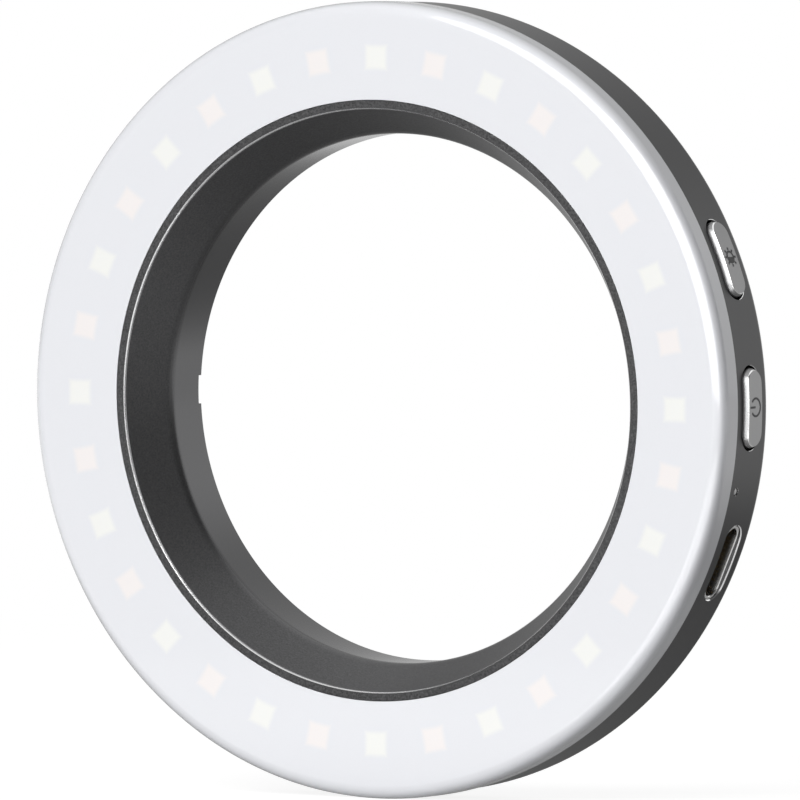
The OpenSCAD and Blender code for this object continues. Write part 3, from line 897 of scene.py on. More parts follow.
@dataclass(frozen=True)
class BarrelFinish(Finish):
    """Dark blasted barrel: speckled lip, finer cone and a smoother bore."""

    speckle: float = 0.26
    speckle_contrast: float = 0.9
    inner_shade: float = 2.3
    cone_roughness: float = 0.42
    bore_roughness: float = 0.2
    bore_relief: float = 0.2
    edge: Colour = (0.65, 0.65, 0.655)
    edge_roughness: float = 0.25
    edge_margin: float = 0.005
    cone_rise: Span = (RING.throat - 0.8, RING.throat + 0.6)
    lip_rise: Span = (RING.mouth + 0.2, RING.mouth + 0.35)
    face_rise: Span = (RING.mouth + 0.06, RING.mouth + 0.1)

    def layers(self, paint: Paint) -> Layers:
        """Gives the lip, the cone and the bore their own grain, and brightens the lip's inner edge.

        Args:
            paint: Nodes of the material.

        Returns:
            Colour, roughness and height, as in Finish.
        """
        radius, height, _ = paint.ring()
        cone, lip = paint.fade(height, *self.cone_rise), paint.fade(radius, *self.lip_rise)
        face = paint.fade(radius, *self.face_rise)
        fine, relief = paint.grained(self.grain, paint.times(cone, self.contrast))
        coarse, _ = paint.grained(self.speckle, paint.times(lip, self.speckle_contrast))
        shade = paint.times(paint.times(fine, coarse), paint.mix(face, self.inner_shade, 1.0))
        low = RING.front - RING.lip_chamfer + self.edge_margin
        high = paint.maths("GREATER_THAN", height, low)
        edge = paint.times(high, paint.maths("LESS_THAN", radius, RING.mouth + RING.lip_chamfer))
        rough = paint.mix(cone, self.bore_roughness, self.cone_roughness)
        rough = paint.plus(rough, paint.times(face, self.roughness - self.cone_roughness))
        return (
            paint.blend(edge, paint.scaled(self.colour, shade), self.edge),
            paint.mix(edge, rough, self.edge_roughness),
            paint.times(relief, paint.mix(cone, self.bore_relief, 1.0)),
        )


@dataclass(frozen=True)
class TurnedFinish(Finish):
    """Turned metal with fine lines round the ring."""

    pitch: float = 0.1

    def layers(self, paint: Paint) -> Layers:
        """Shades and raises the turned lines.

        Args:
            paint: Nodes of the material.

        Returns:
            Colour, roughness and height, as in Finish.
        """
        radius, height, _ = paint.ring()
        lines = paint.group(paint.groups.lathe, Radius=radius, Height=height, Pitch=self.pitch)[0]
        shade = paint.plus(1 - self.contrast, paint.times(lines, 2 * self.contrast))
        return paint.scaled(self.colour, shade), self.roughness, lines


@dataclass(frozen=True)
class DiodeFinish(Finish):
    """Diode: phosphor in its window, in a white package."""

    package: Colour = (0.82, 0.82, 0.8)
    window_rise: Span = (RING.led_top - 0.1, RING.led_top - 0.06)

    def layers(self, paint: Paint) -> Layers:
        """Colours the window and the package.

        Args:
            paint: Nodes of the material.

        Returns:
            Colour, roughness and height, as in Finish.
        """
        window = paint.fade(paint.ring()["Height"], *self.window_rise)
        shade, height = paint.grained(self.grain, self.contrast)
        return paint.scaled(paint.blend(window, self.package, self.colour), shade), self.roughness, height


@dataclass(frozen=True)
class BoardFinish(Finish):
    """Printed board: solder mask over faint traces."""

    trace: Colour = (0.03, 0.2, 0.09)
    pitch: float = 0.6
    patch: float = 3.0
    trace_rise: Span = (0.55, 0.65)

    def layers(self, paint: Paint) -> Layers:
        """Lays lines round the ring that shift from patch to patch.

        Args:
            paint: Nodes of the material.

        Returns:
            Colour, roughness and height, as in Finish.
        """
        inputs = {"Vector": paint.place, "Scale": 1 / (self.patch * MM)}
        cells = paint.add("ShaderNodeTexVoronoi", inputs, distance="CHEBYCHEV").outputs["Distance"]
        lane = paint.maths("PINGPONG", paint.plus(paint.ring()["Radius"], cells), self.pitch)
        start, end = self.trace_rise
        line = paint.fade(lane, start * self.pitch, end * self.pitch)
        shade = paint.grained(self.grain, self.contrast)["Shade"]
        return paint.scaled(paint.blend(line, self.colour, self.trace), shade), self.roughness, line


class Palette:
    """Finishes of the whole light, each made into a material once.

    The numbers after the colour are roughness, metallic, grain, contrast, relief and coat.
    """

    # The milky moulding carries painted shade on its side band.
    milky = MilkyFinish("milky_moulding", (0.83, 0.84, 0.875), 0.25, 0, 0.2, 0.012, 0.0005, 1)
    barrel = BarrelFinish("blasted_barrel", (0.05, 0.05, 0.051), 0.5, 1, 0.2, 0.35, 0.006)
    housing = Finish("anodised_housing", (0.078, 0.078, 0.079), 0.3, 1, 0.12, 0.08, 0.001)
    plate = TurnedFinish("turned_steel", (0.2, 0.2, 0.21), 0.3, 1, 0.1, 0.12, 0.003)
    screw = Finish("black_oxide", (0.05, 0.05, 0.052), 0.42, 1, 0.08, 0.2, 0.002)
    button_face = Finish("satin_button", (0.3, 0.3, 0.302), 0.36, 1, 0.05, 0.05, 0.0008)
    button_edge = Finish("polished_edge", (0.9, 0.9, 0.9), 0.12, 1, 0.04, 0.02, 0.0002)
    sign = Finish("sign_ink", (0.05, 0.05, 0.052), 0.5, 0, 0.05, 0.1, 0.0005)
    steel = Finish("drawn_steel", (0.82, 0.82, 0.81), 0.2, 1, 0.08, 0.06, 0.0008)
    black = Finish("black_moulding", (0.03, 0.027, 0.025), 0.45, 0, 0.12, 0.15, 0.002)
    gold = Finish("gold_plate", (0.75, 0.55, 0.25), 0.25, 1, 0.05, 0.06, 0.0005)
    clear = Finish("clear_moulding", (0.95, 0.95, 0.95), 0.25, 0, 0.1, 0.02, 0.0005, 0.5)
    cool = DiodeFinish("cool_phosphor", (0.85, 0.9, 0.7), 0.35, 0, 0.12, 0.05, 0.001)
    warm = DiodeFinish("warm_phosphor", (0.9, 0.7, 0.5), 0.35, 0, 0.12, 0.05, 0.001)
    nickel = Finish("nickel_plate", (0.6, 0.6, 0.6), 0.2, 1, 0.1, 0.08, 0.001)
    zinc = Finish("zinc_plate", (0.55, 0.55, 0.55), 0.35, 1, 0.12, 0.15, 0.002)
    white_board = Finish("white_mask", (0.85, 0.85, 0.82), 0.35, 0, 0.2, 0.03, 0.002)
    green_board = BoardFinish("green_mask", (0.02, 0.12, 0.05), 0.35, 0, 0.2, 0.1, 0.01)
    film = Finish("white_film", (0.9, 0.9, 0.9), 0.5, 0, 0.15, 0.02, 0.001)
    tape = Finish("thermal_tape", (0.5, 0.55, 0.65), 0.7, 0, 0.25, 0.15, 0.01)
    epoxy = Finish("moulded_epoxy", (0.025, 0.025, 0.026), 0.6, 0, 0.1, 0.25, 0.003)
    ferrite = Finish("pressed_ferrite", (0.08, 0.08, 0.09), 0.65, 0, 0.08, 0.35, 0.006)
    ceramic = Finish("tan_ceramic", (0.35, 0.25, 0.16), 0.5, 0, 0.1, 0.12, 0.001)
    natural = Finish("natural_moulding", (0.7, 0.7, 0.66), 0.5, 0, 0.15, 0.05, 0.002)
    nylon = Finish("nylon", (0.75, 0.72, 0.62), 0.5, 0, 0.15, 0.06, 0.002)
    resin = Finish("clear_resin", (0.8, 0.85, 0.8), 0.2, 0, 0.1, 0.03, 0.0005, 0.4)
    pouch = Finish("laminate_pouch", (0.5, 0.5, 0.52), 0.35, 1, 0.9, 0.12, 0.03)
    foam = Finish("foam", (0.06, 0.06, 0.065), 0.9, 0, 0.12, 0.5, 0.03)
    strip = Finish("nickel_strip", (0.6, 0.58, 0.5), 0.3, 1, 0.1, 0.1, 0.001)
    red = Finish("red_insulation", (0.55, 0.03, 0.02), 0.45, 0, 0.3, 0.08, 0.003)
    dark_lead = Finish("black_insulation", (0.02, 0.02, 0.02), 0.45, 0, 0.3, 0.15, 0.003)

    def __init__(self) -> None:
        """Builds the shared groups."""
        self.groups = ShaderGroups()
        self.made: dict[str, Material] = {}

    def paint(self, finish: Finish) -> Material:
        """Gives a finish's material, built the first time it is asked for.

        Args:
            finish: One of the finishes above.

        Returns:
            The material.
        """
        if finish.name not in self.made:
            self.made[finish.name] = finish.material(self.groups)
        return self.made[finish.name]


@dataclass
class Assembly:
    """Part of the light that is built and dressed together.

    Attributes:
        shop: Trees that turn and repeat pieces.
        palette: Materials of the light.
    """

    shop: Workshop
    palette: Palette

    def place(self, piece: Object, nodes: Sequence[str], slot: Slot, body: Body = Body.ROOT) -> None:
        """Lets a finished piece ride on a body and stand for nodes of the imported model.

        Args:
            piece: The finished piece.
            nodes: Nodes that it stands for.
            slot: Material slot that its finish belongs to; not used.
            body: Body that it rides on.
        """
        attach(piece, body.value)
        if nodes:
            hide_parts(*nodes)
        LOG.info("%s: %d faces, rides on %s", piece.name, len(piece.data.polygons), body.value)

    def dress(self, piece: Object, *finishes: Finish) -> Object:
        """Puts finishes into a piece's material slots.

        Args:
            piece: Piece to dress.
            *finishes: Finishes in the order of the slots.

        Returns:
            The same piece.
        """
        piece.data.materials.clear()
        for finish in finishes:
            piece.data.materials.append(self.palette.paint(finish))
        return piece


@dataclass
class Diffuser(Assembly):
    """Milky ring: light face with a rounded edge, side band and locating tongue."""

    edge: float = 1.4
    inner_edge: float = 0.05
    seam_edge: float = 0.06
    tongue: float = 0.8
    tongue_edge: float = 0.1
    root_edge: float = 0.3
    steps: int = 512

    def build(self) -> None:
        """Turns the diffuser."""
        inner, low = RING.lip + RING.seat, RING.seam - self.tongue
        corners = (
            (inner, RING.front, self.inner_edge), (RING.face, RING.front, self.edge),
            (RING.face, RING.seam, self.seam_edge), (RING.tongue_out, RING.seam),
            (RING.tongue_out, low, self.tongue_edge), (RING.band_in, low, self.tongue_edge),
            (RING.band_in, RING.face_in, self.root_edge), (inner, RING.face_in),
        )
        piece = self.shop.turn("diffuser_ring", corners, self.palette.paint(Palette.milky), self.steps)
        self.place(piece, ["diffuser"], Slot.DIFFUSER)


@dataclass
class Barrel(Assembly):
    """Dark inner barrel: lip, cone and bore in front, flange, posts and boss behind."""

    land: float = 0.18
    groove: float = 0.04
    rear_edge: float = 0.05
    rim_edge: float = 0.12
    lip_edge: float = 0.06
    edge: float = 0.1
    root_blend: float = 0.4
    throat_blend: float = 2.2
    steps: int = 512
    post: float = 1.8
    post_into: float = 0.5
    board_circle: float = 39.5
    board_posts: Span = (-33.4, 11.0)
    board_low: float = 7.08
    board_depth: float = 1.0
    pilot: float = 0.75
    pilot_depth: float = 4.4
    magnet: float = 1.55
    magnet_low: float = 0.2
    magnet_depth: float = 1.55
    magnet_count: int = 12
    ring_screws: tuple[float, ...] = (5.625, 95.625, 185.625, 275.625)
    ring_screw_circle: float = 41.25
    ring_screw_span: Span = (7.2, 8.8)
    notch_angle: float = 180.0
    notch_width: float = 3.2
    notch_depth: float = 0.57
    notch_past: float = 0.3
    feed_angle: float = -32.0
    feed_outs: Span = (35.1, 36.1)
    feed_width: float = 3.75
    feed_span: Span = (7.0, 9.0)

    def profile(self) -> tuple[tuple, ...]:
        """Corners of the turned body, from the rear rim along the bore to the lip and back.

        Returns:
            Radius, height and blend of each.
        """
        low, edge = RING.front - RING.lip_chamfer, self.edge
        cut = RING.mouth + self.groove
        return (
            (RING.spigot, 0, self.rim_edge), (RING.bore, 0, self.rear_edge),
            (RING.bore, RING.throat, self.throat_blend), (RING.mouth - self.groove, low - self.land),
            (cut, low - self.land + self.groove), (cut, low - self.groove), (RING.mouth, low),
            (RING.mouth + RING.lip_chamfer, RING.front), (RING.lip, RING.front, self.lip_edge),
            (RING.lip, RING.face_in), (RING.hub, RING.face_in, edge), (RING.hub, RING.flange_top),
            (RING.flange, RING.flange_top, edge), (RING.flange, RING.flange_low, edge),
            (RING.tube, RING.flange_low, self.root_blend), (RING.tube, RING.boss_top, edge),
            (RING.boss, RING.boss_top, edge), (RING.boss, RING.plate_top, self.rear_edge),
            (RING.spigot, RING.plate_top),
        )

    def build(self) -> None:
        """Turns the barrel, adds its posts and cuts its holes and key notch."""
        paint = self.palette.paint(Palette.barrel)
        piece = self.shop.turn("barrel_body", self.profile(), paint, self.steps)
        top, low, pilot = RING.flange_top - self.post_into, self.board_low, self.pilot
        posts = rods(QUARTERS, RING.screw_circle, RING.back_in, top, self.post)
        posts += rods(self.board_posts, self.board_circle, low, top, self.post)
        combine(piece, posts, "UNION")
        deep, step = self.board_depth, DEGREES / self.magnet_count
        magnets = [step * index for index in range(self.magnet_count)]
        middle = (RING.spigot + RING.boss) / 2
        rim = (RING.bore - CLEAR, RING.spigot + self.notch_past)
        holes = [
            *rods(QUARTERS, RING.screw_circle, RING.back, RING.back_in + self.pilot_depth, pilot),
            *rods(self.board_posts, self.board_circle, low - deep, low + deep, pilot),
            *rods(self.ring_screws, self.ring_screw_circle, *self.ring_screw_span, pilot),
            *rods(magnets, middle, self.magnet_low, RING.plate_top + self.magnet_depth, self.magnet),
            brick(self.feed_angle, self.feed_outs, self.feed_width, self.feed_span),
            brick(self.notch_angle, rim, self.notch_width, (-CLEAR, self.notch_depth)),
        ]
        combine(piece, holes)
        self.place(piece, ["inner_barrel"], Slot.BARREL)


@dataclass
class Opening:
    """Opening with half-round ends in the side wall.

    Attributes:
        angle: Angle of its middle.
        height: Height of its middle.
        length: Length round the ring.
        width: Width along the ring's depth.
        flare: Chamfer along its outer edge.
        over: How far the cutter's chamfer passes the wall.
        inward: How far the cutter starts inside the wall.
    """

    angle: float
    height: float
    length: float
    width: float
    flare: float
    over: float = 0.05
    inward: float = 1.2

    def cutter(self) -> Object:
        """Builds the solid that cuts the opening and its chamfer.

        Returns:
            The solid.
        """
        wide, rings = -self.flare - self.over, []
        for inset, out, bent in (
            (0.0, RING.wall_in - self.inward, False), (0.0, RING.outer - self.flare, True),
            (wide, RING.outer + self.over, True), (wide, RING.outer + CLEAR, False),
        ):
            outline = stadium(self.length, self.width, inset)
            rings.append(radial(self.angle, self.height, outline, out, bent))
        return loft("opening", rings)


@dataclass
class Housing(Assembly):
    """Dark side wall and back wall with their openings."""

    edge: float = 0.85
    seam_edge: float = 0.05
    bore_edge: float = 0.15
    corner_blend: float = 0.3
    recess: float = 0.9
    recess_edge: float = 0.03
    steps: int = 720
    # Two buttons, the charge port and the status lamp: angle, height, length, width and flare.
    openings: tuple[Opening, ...] = (
        Opening(22.0, 4.95, 9.6, 4.0, 0.05),
        Opening(0.0, 4.95, 9.6, 4.0, 0.05),
        Opening(-23.25, 4.7, 9.14, 3.36, 0.12),
        Opening(-12.1, 6.7, 0.9, 0.8999, 0.02),
    )
    screw_hole: float = 0.8
    counterbore: float = 1.5
    counterbore_edge: float = 0.08
    counterbore_top: float = 1.7
    bright_outs: Span = (RING.outer - 0.11, RING.outer - 0.01)
    bright_span: Span = (2.5, RING.seam - 0.2)

    def build(self) -> None:
        """Turns the housing, cuts the openings and the screws' holes, and brightens the chamfers."""
        inner, groove = RING.boss + RING.slip, RING.tongue_out + RING.slip
        ledge, edge = RING.seam - self.recess, self.counterbore_edge
        corners = (
            (inner, RING.back, self.bore_edge), (inner, RING.back_in),
            (RING.wall_in, RING.back_in, self.corner_blend), (RING.wall_in, ledge), (groove, ledge),
            (groove, RING.seam, self.recess_edge), (RING.outer, RING.seam, self.seam_edge),
            (RING.outer, RING.back, self.edge),
        )
        piece = self.shop.turn("housing_shell", corners, self.palette.paint(Palette.housing), self.steps)
        levels = (
            (RING.back - CLEAR, self.counterbore + edge), (RING.back, self.counterbore + edge),
            (RING.back + edge, self.counterbore), (self.counterbore_top, self.counterbore),
            (self.counterbore_top, self.screw_hole), (RING.back_in + CLEAR, self.screw_hole),
        )
        tools = [opening.cutter() for opening in self.openings]
        tools += [drum("counterbore", angle, RING.screw_circle, levels, steps=64) for angle in QUARTERS]
        combine(piece, tools)
        self.dress(piece, Palette.housing, Palette.button_edge)
        (inside, outside), (low, high) = self.bright_outs, self.bright_span
        for face in piece.data.polygons:
            radius, height = math.hypot(face.center.x, face.center.z) / MM, -face.center.y / MM
            face.material_index = int(inside < radius < outside and low < height < high)
        self.place(piece, ["housing"], Slot.HOUSING)


@dataclass
class RearMount(Assembly):
    """Steel plate over the magnets, and the screws in the back wall."""

    edge: float = 0.08
    head: float = 1.4
    head_low: float = 1.1
    head_top: float = 1.7
    # Rise and inset of the head's rounding.
    crown: Outline = ((0.0, 0.35), (0.05, 0.12), (0.16, 0.0))
    shank: float = 0.7
    length: float = 4.4
    arm_share: float = 0.62
    recess_depth: float = 0.3
    recess_taper: float = 0.8
    blade_share: float = 1 / 6
    tip_share: float = 1 / 3

    def build(self) -> None:
        """Builds the plate and the case screws."""
        inner = RING.spigot + RING.slip
        sides = ((inner, 0), (inner, RING.plate_top), (RING.boss, RING.plate_top), (RING.boss, 0))
        corners = [(*corner, self.edge) for corner in sides]
        plate = self.shop.turn("mount_washer", corners, self.palette.paint(Palette.plate))
        self.place(plate, ["mount_plate"], Slot.MOUNT_PLATE)
        self.place(self.screws(), ["case_screws"], Slot.CASE_SCREW)

    def screws(self) -> Object:
        """Builds one screw with a crowned head and cross recess, and repeats it round the ring.

        Returns:
            The screws.
        """
        end, out = self.head_top + self.length, RING.screw_circle
        levels = [(self.head_low + rise, self.head - inset) for rise, inset in self.crown]
        levels += [
            (self.head_top, self.head), (self.head_top, self.shank), (end - self.shank, self.shank),
            (end, self.shank * self.tip_share),
        ]
        piece = drum("case_screw_set", 0, out, levels, steps=48)
        arm, blade = self.head * self.arm_share, self.head * self.blade_share
        corners = ((arm, -blade), (arm, blade), (blade, blade))
        cross = [spun(x, y, RIGHT_ANGLE * quarter) for quarter in range(4) for x, y in corners]
        deep = (self.head_low + self.recess_depth, self.recess_taper)
        levels = ((self.head_low - CLEAR / 2, 1.0), (self.head_low, 1.0), deep)
        rings = [[at_ring(0, out + x * share, y * share, high) for x, y in cross] for high, share in levels]
        combine(piece, [loft("recess", rings)])
        turns = {"First": math.radians(QUARTERS[0]), "Turn": FULL_TURN / len(QUARTERS)}
        return self.shop.repeat(piece, len(QUARTERS), self.palette.paint(Palette.screw), **turns)


class Sign(Enum):
    """Generic sign on a button."""

    SUN = "sun"
    POWER = "power"


@dataclass
class PushButton(Assembly):
    """Side button with a bevelled cap whose face follows the ring, and its sign."""

    angle: float
    sign: Sign
    node: str
    body: Body
    height: float = 4.95
    length: float = 9.0
    width: float = 3.4
    face: float = 45.07
    bevel: float = 0.11
    draft: float = 0.15
    draft_low: float = 44.5
    flange_low: float = 41.68
    flange_top: float = 42.28
    flange_length: float = 10.4
    flange_width: float = 4.7
    stroke: float = 0.24
    sign_height: float = 0.02
    sign_depth: float = 0.03
    sign_shift: float = 0.0
    power_ring: float = 1.0
    power_gap: float = 38.0
    power_bar: Span = (0.1, 1.2)
    sun_ring: float = 0.65
    sun_half: float = 0.6
    sun_ray: Span = (0.82, 1.14)
    sun_rays: int = 8
    steps: int = 16

    def build(self) -> None:
        """Builds the cap and the sign."""
        self.place(self.cap(), [self.node], Slot.BUTTON, self.body)
        self.place(self.emblem(), [], Slot.BUTTON, self.body)

    def cap(self) -> Object:
        """Builds the cap with its flange, bevel and curved face.

        Returns:
            The cap.
        """
        flat, top = (self.flange_length, self.flange_width), (self.length, self.width)
        levels = (
            (flat, 0.0, self.flange_low, False), (flat, 0.0, self.flange_top, False),
            (top, 0.0, self.flange_top, False), (top, 0.0, self.draft_low, True),
            (top, self.draft, self.face - self.bevel, True), (top, self.draft + self.bevel, self.face, True),
        )
        points: list[Vector] = []
        for size, inset, out, bent in levels:
            points += radial(self.angle, self.height, stadium(*size, inset, self.steps), out, bent)
        count = 4 * self.steps
        first = len(points) - count
        faces = [tuple(range(count)), *skin(len(levels), count)]
        polished = range(len(faces) - count, len(faces))
        for index in range(self.steps // 2, self.steps * 5 // 2):
            strip = (index, index + 1, (self.steps - index - 1) % count, (self.steps - index) % count)
            faces.append(tuple(first + corner for corner in dict.fromkeys(strip)))
        piece = make_object(self.sign.value + "_cap", points, faces)
        self.dress(piece, Palette.button_face, Palette.button_edge)
        for index in polished:
            piece.data.polygons[index].material_index = 1
        return tidy(piece)

    def ribbon(self, left: Outline, right: Outline, closed: bool = False) -> Object:
        """Builds a thin solid on the button's face between two lines.

        Args:
            left: Points of one line, along and across the face.
            right: Points of the other line, as many.
            closed: Whether the lines close on themselves.

        Returns:
            The solid.
        """
        points = []
        for pair in zip(left, right):
            outline = [(x + self.sign_shift, y) for x, y in pair]
            for rise in (-self.sign_depth, self.sign_height):
                points += radial(self.angle, self.height, outline, self.face + rise, True)
        count, faces = len(points), []
        for here in range(0, count if closed else count - 4, 4):
            after = (here + 4) % count
            for first, second in ((0, 1), (1, 3), (3, 2), (2, 0)):
                faces.append((here + first, here + second, after + second, after + first))
        if not closed:
            faces += [(0, 2, 3, 1), (count - 4, count - 3, count - 1, count - 2)]
        return make_object("stroke", points, faces)

    def round_stroke(self, radius: float, start: float, end: float) -> list[Outline]:
        """Inner and outer line of a round stroke, between two angles."""
        return [arc(radius + side * self.stroke / 2, start, end, steps=40) for side in (-1, 1)]

    def bar(self, turn: float, ends: Span) -> list[Outline]:
        """Both sides of a straight stroke along a spoke."""
        return [[spun(out, side * self.stroke / 2, turn) for out in ends] for side in (-1, 1)]

    def emblem(self) -> Object:
        """Builds the sun or power sign as thin strokes on the face.

        Returns:
            The sign.
        """
        up, down = RIGHT_ANGLE, 3 * RIGHT_ANGLE
        if self.sign is Sign.POWER:
            start, end = up + self.power_gap, up + DEGREES - self.power_gap
            open_ring = self.round_stroke(self.power_ring, start, end)
            strokes = [self.ribbon(*open_ring), self.ribbon(*self.bar(up, self.power_bar))]
        else:
            inner, outer = self.round_stroke(self.sun_ring, 0, DEGREES)
            curve = arc(self.sun_half, up, down, steps=24)
            turns = [DEGREES / self.sun_rays * index for index in range(self.sun_rays)]
            strokes = [
                self.ribbon(inner[:-1], outer[:-1], closed=True),
                self.ribbon(curve, [(0.0, y) for _, y in curve]),
                *(self.ribbon(*self.bar(angle, self.sun_ray)) for angle in turns),
            ]
        return tidy(self.dress(fuse(self.sign.value + "_sign", strokes), Palette.sign))


@dataclass
class ChargePort(Assembly):
    """Charge port: drawn shell, tongue with its middle plate, and contacts."""

    angle: float = -23.25
    height: float = 4.7
    mouth: float = 44.12
    back: float = 36.875
    length: float = 8.94
    width: float = 3.16
    wall: float = 0.3
    lip: float = 0.08
    rim: float = 0.05
    collar: float = 0.07
    collar_span: Span = (0.3, 0.2)
    tongue: Span = (6.69, 0.7)
    tongue_end: float = 43.3
    tongue_edge: float = 0.08
    base_end: float = 38.975
    plate: Span = (6.73, 0.14)
    plate_rise: float = 0.02
    contact: tuple[float, float, float] = (3.4, 0.25, 0.06)
    contact_taper: float = 0.8
    contact_pitch: float = 0.5
    contact_count: int = 12

    def sleeve(self, name: str, levels: Outline) -> Object:
        """Round-ended solid along the port's axis, by distance and inset of each outline."""
        outlines = [(out, stadium(self.length, self.width, inset, steps=12)) for out, inset in levels]
        return loft(name, [radial(self.angle, self.height, outline, out) for out, outline in outlines])

    def slab(self, name: str, outs: Span, size: Span, edge: float) -> Object:
        """Flat plate with bevelled edges, centred on the port's axis.

        Args:
            name: Name of the plate.
            outs: Distances from the ring's axis that it lies between.
            size: Its width and thickness.
            edge: Width of its bevels.

        Returns:
            The plate.
        """
        rings = []
        for out, inset in ((outs[0], 0.0), (outs[1] - edge, 0.0), (outs[1], edge)):
            x, y = size[0] / 2 - inset, size[1] / 2 - inset
            half = [(x - edge, y), (x, y - edge), (x, edge - y), (x - edge, -y)]
            outline = half + [(-a, -b) for a, b in half]
            rings.append(radial(self.angle, self.height, outline, out))
        return loft(name, rings)

    def build(self) -> None:
        """Builds the shell, the tongue and the contacts."""
        mouth, start = self.mouth, self.back + self.wall
        low, high = self.collar_span
        levels = (
            (self.back, 0.0), (mouth - low, 0.0), (mouth - high, -self.collar),
            (mouth - self.rim, -self.collar), (mouth, self.rim - self.collar),
            (mouth, self.wall - self.lip), (mouth - self.lip, self.wall), (start, self.wall),
        )
        shell = self.dress(self.sleeve("port_sleeve", levels), Palette.steel)
        self.place(shell, ["usb_shell"], Slot.PORT_SHELL)
        inset = self.wall + RING.slip
        base = self.sleeve("base", ((start, inset), (self.base_end, inset)))
        blade = self.slab("blade", (start, self.tongue_end), self.tongue, self.tongue_edge)
        combine(blade, [base], "UNION")
        moulded = len(blade.data.polygons)
        rise = self.plate_rise
        plate = self.slab("plate", (self.base_end, self.tongue_end + rise), self.plate, rise)
        blade = self.dress(fuse("port_tongue_blade", [blade, plate]), Palette.black, Palette.steel)
        for face in blade.data.polygons[moulded:]:
            face.material_index = 1
        self.place(tidy(blade, turn_out=False), ["usb_tongue"], Slot.PORT_TONGUE)
        self.place(self.contacts(), ["usb_contacts"], Slot.GOLD_PIN)

    def contacts(self) -> Object:
        """Builds the first pair of contacts and repeats it across the tongue.

        Returns:
            The contacts.
        """
        reach, wide, thick = self.contact
        end, half = self.tongue_end - wide, wide / 2
        first = -(self.contact_count - 1) / 2 * self.contact_pitch
        crown = half * self.contact_taper
        pair = []
        for side in (-1, 1):
            low = side * self.tongue[1] / 2
            high = low + side * thick
            outline = [(first + x, y) for x, y in ((-half, low), (half, low), (crown, high), (-crown, high))]
            rings = [radial(self.angle, self.height, outline, out) for out in (end - reach, end)]
            pair.append(loft("contact", rings))
        step = tuple(at_ring(self.angle, 0, self.contact_pitch, 0))
        piece, paint = tidy(fuse("port_contacts", pair)), self.palette.paint(Palette.gold)
        return self.shop.repeat(piece, self.contact_count, paint, Step=step)


@dataclass
class StatusLamp(Assembly):
    """Clear light pipe that ends in a small lens in the side wall."""

    angle: float = -12.1
    height: float = 6.7
    radius: float = 0.44
    low: float = 41.2
    tip: float = 44.45
    # Fall and inset of the tip's rounding.
    dome: Outline = ((0.2, 0.0), (0.12, 0.02), (0.05, 0.12), (0.01, 0.3), (0.0, 0.45))
    deep: float = 0.6
    side: float = 1.6

    def build(self) -> None:
        """Builds the rod with its domed tip and adds the collecting block."""
        levels = [(self.low, self.radius)]
        levels += [(self.tip - fall, self.radius - inset) for fall, inset in self.dome]
        rings = [radial(self.angle, self.height, circle(size, steps=32), out) for out, size in levels]
        piece = loft("lamp_lens", rings)
        heights = (self.height - self.side * 2 / 3, self.height + self.side / 3)
        block = brick(self.angle, (self.low, self.low + self.deep), self.side, heights)
        self.dress(combine(piece, [block], "UNION"), Palette.clear)
        self.place(piece, ["light_pipe"], Slot.LIGHT_PIPE)


@dataclass
class DiodeRing(Assembly):
    """Cool and warm diodes behind the light face, in turn round the ring."""

    side: float = 3.0
    package: float = 0.55
    package_edge: float = 0.08
    mark: float = 0.5
    window: float = 1.25
    window_low: float = 0.2
    window_rise: float = 0.02
    # Fall and inset of the window's rounding.
    dome: Outline = ((0.03, 0.25), (0.005, 0.7), (0.0, 1.1))
    count: int = 32
    first: float = 90.0

    def diode(self, name: str) -> Object:
        """Builds one diode at angle 0: bevelled package with a marked corner, and a domed window.

        Args:
            name: Name of the piece.

        Returns:
            The diode.
        """
        out, low, rings = RING.diode_circle, RING.board_top, []
        top = low + self.package
        for height, inset in ((low, 0.0), (top - self.package_edge, 0.0), (top, self.package_edge)):
            reach = self.side / 2 - inset
            cut = reach - self.mark
            outline = ((reach, -reach), (reach, cut), (cut, reach), (-reach, reach), (-reach, -reach))
            rings.append([at_ring(0, out + x, y, height) for x, y in outline])
        levels = [(low + self.window_low, self.window), (top + self.window_rise, self.window)]
        levels += [(RING.led_top - fall, self.window - inset) for fall, inset in self.dome]
        return combine(loft(name, rings), [drum("window", 0, out, levels, steps=24)], "UNION")

    def build(self) -> None:
        """Repeats both kinds of diode round the ring."""
        half, step = self.count // 2, DEGREES / self.count
        kinds = (
            ("cool_diodes", "cool_leds", Palette.cool, Slot.COOL_LED, self.first),
            ("warm_diodes", "warm_leds", Palette.warm, Slot.WARM_LED, self.first + step),
        )
        for name, node, finish, slot, first in kinds:
            turns = {"First": math.radians(first), "Turn": FULL_TURN / half}
            piece = self.shop.repeat(self.diode(name), half, self.palette.paint(finish), **turns)
            self.place(piece, [node], slot)


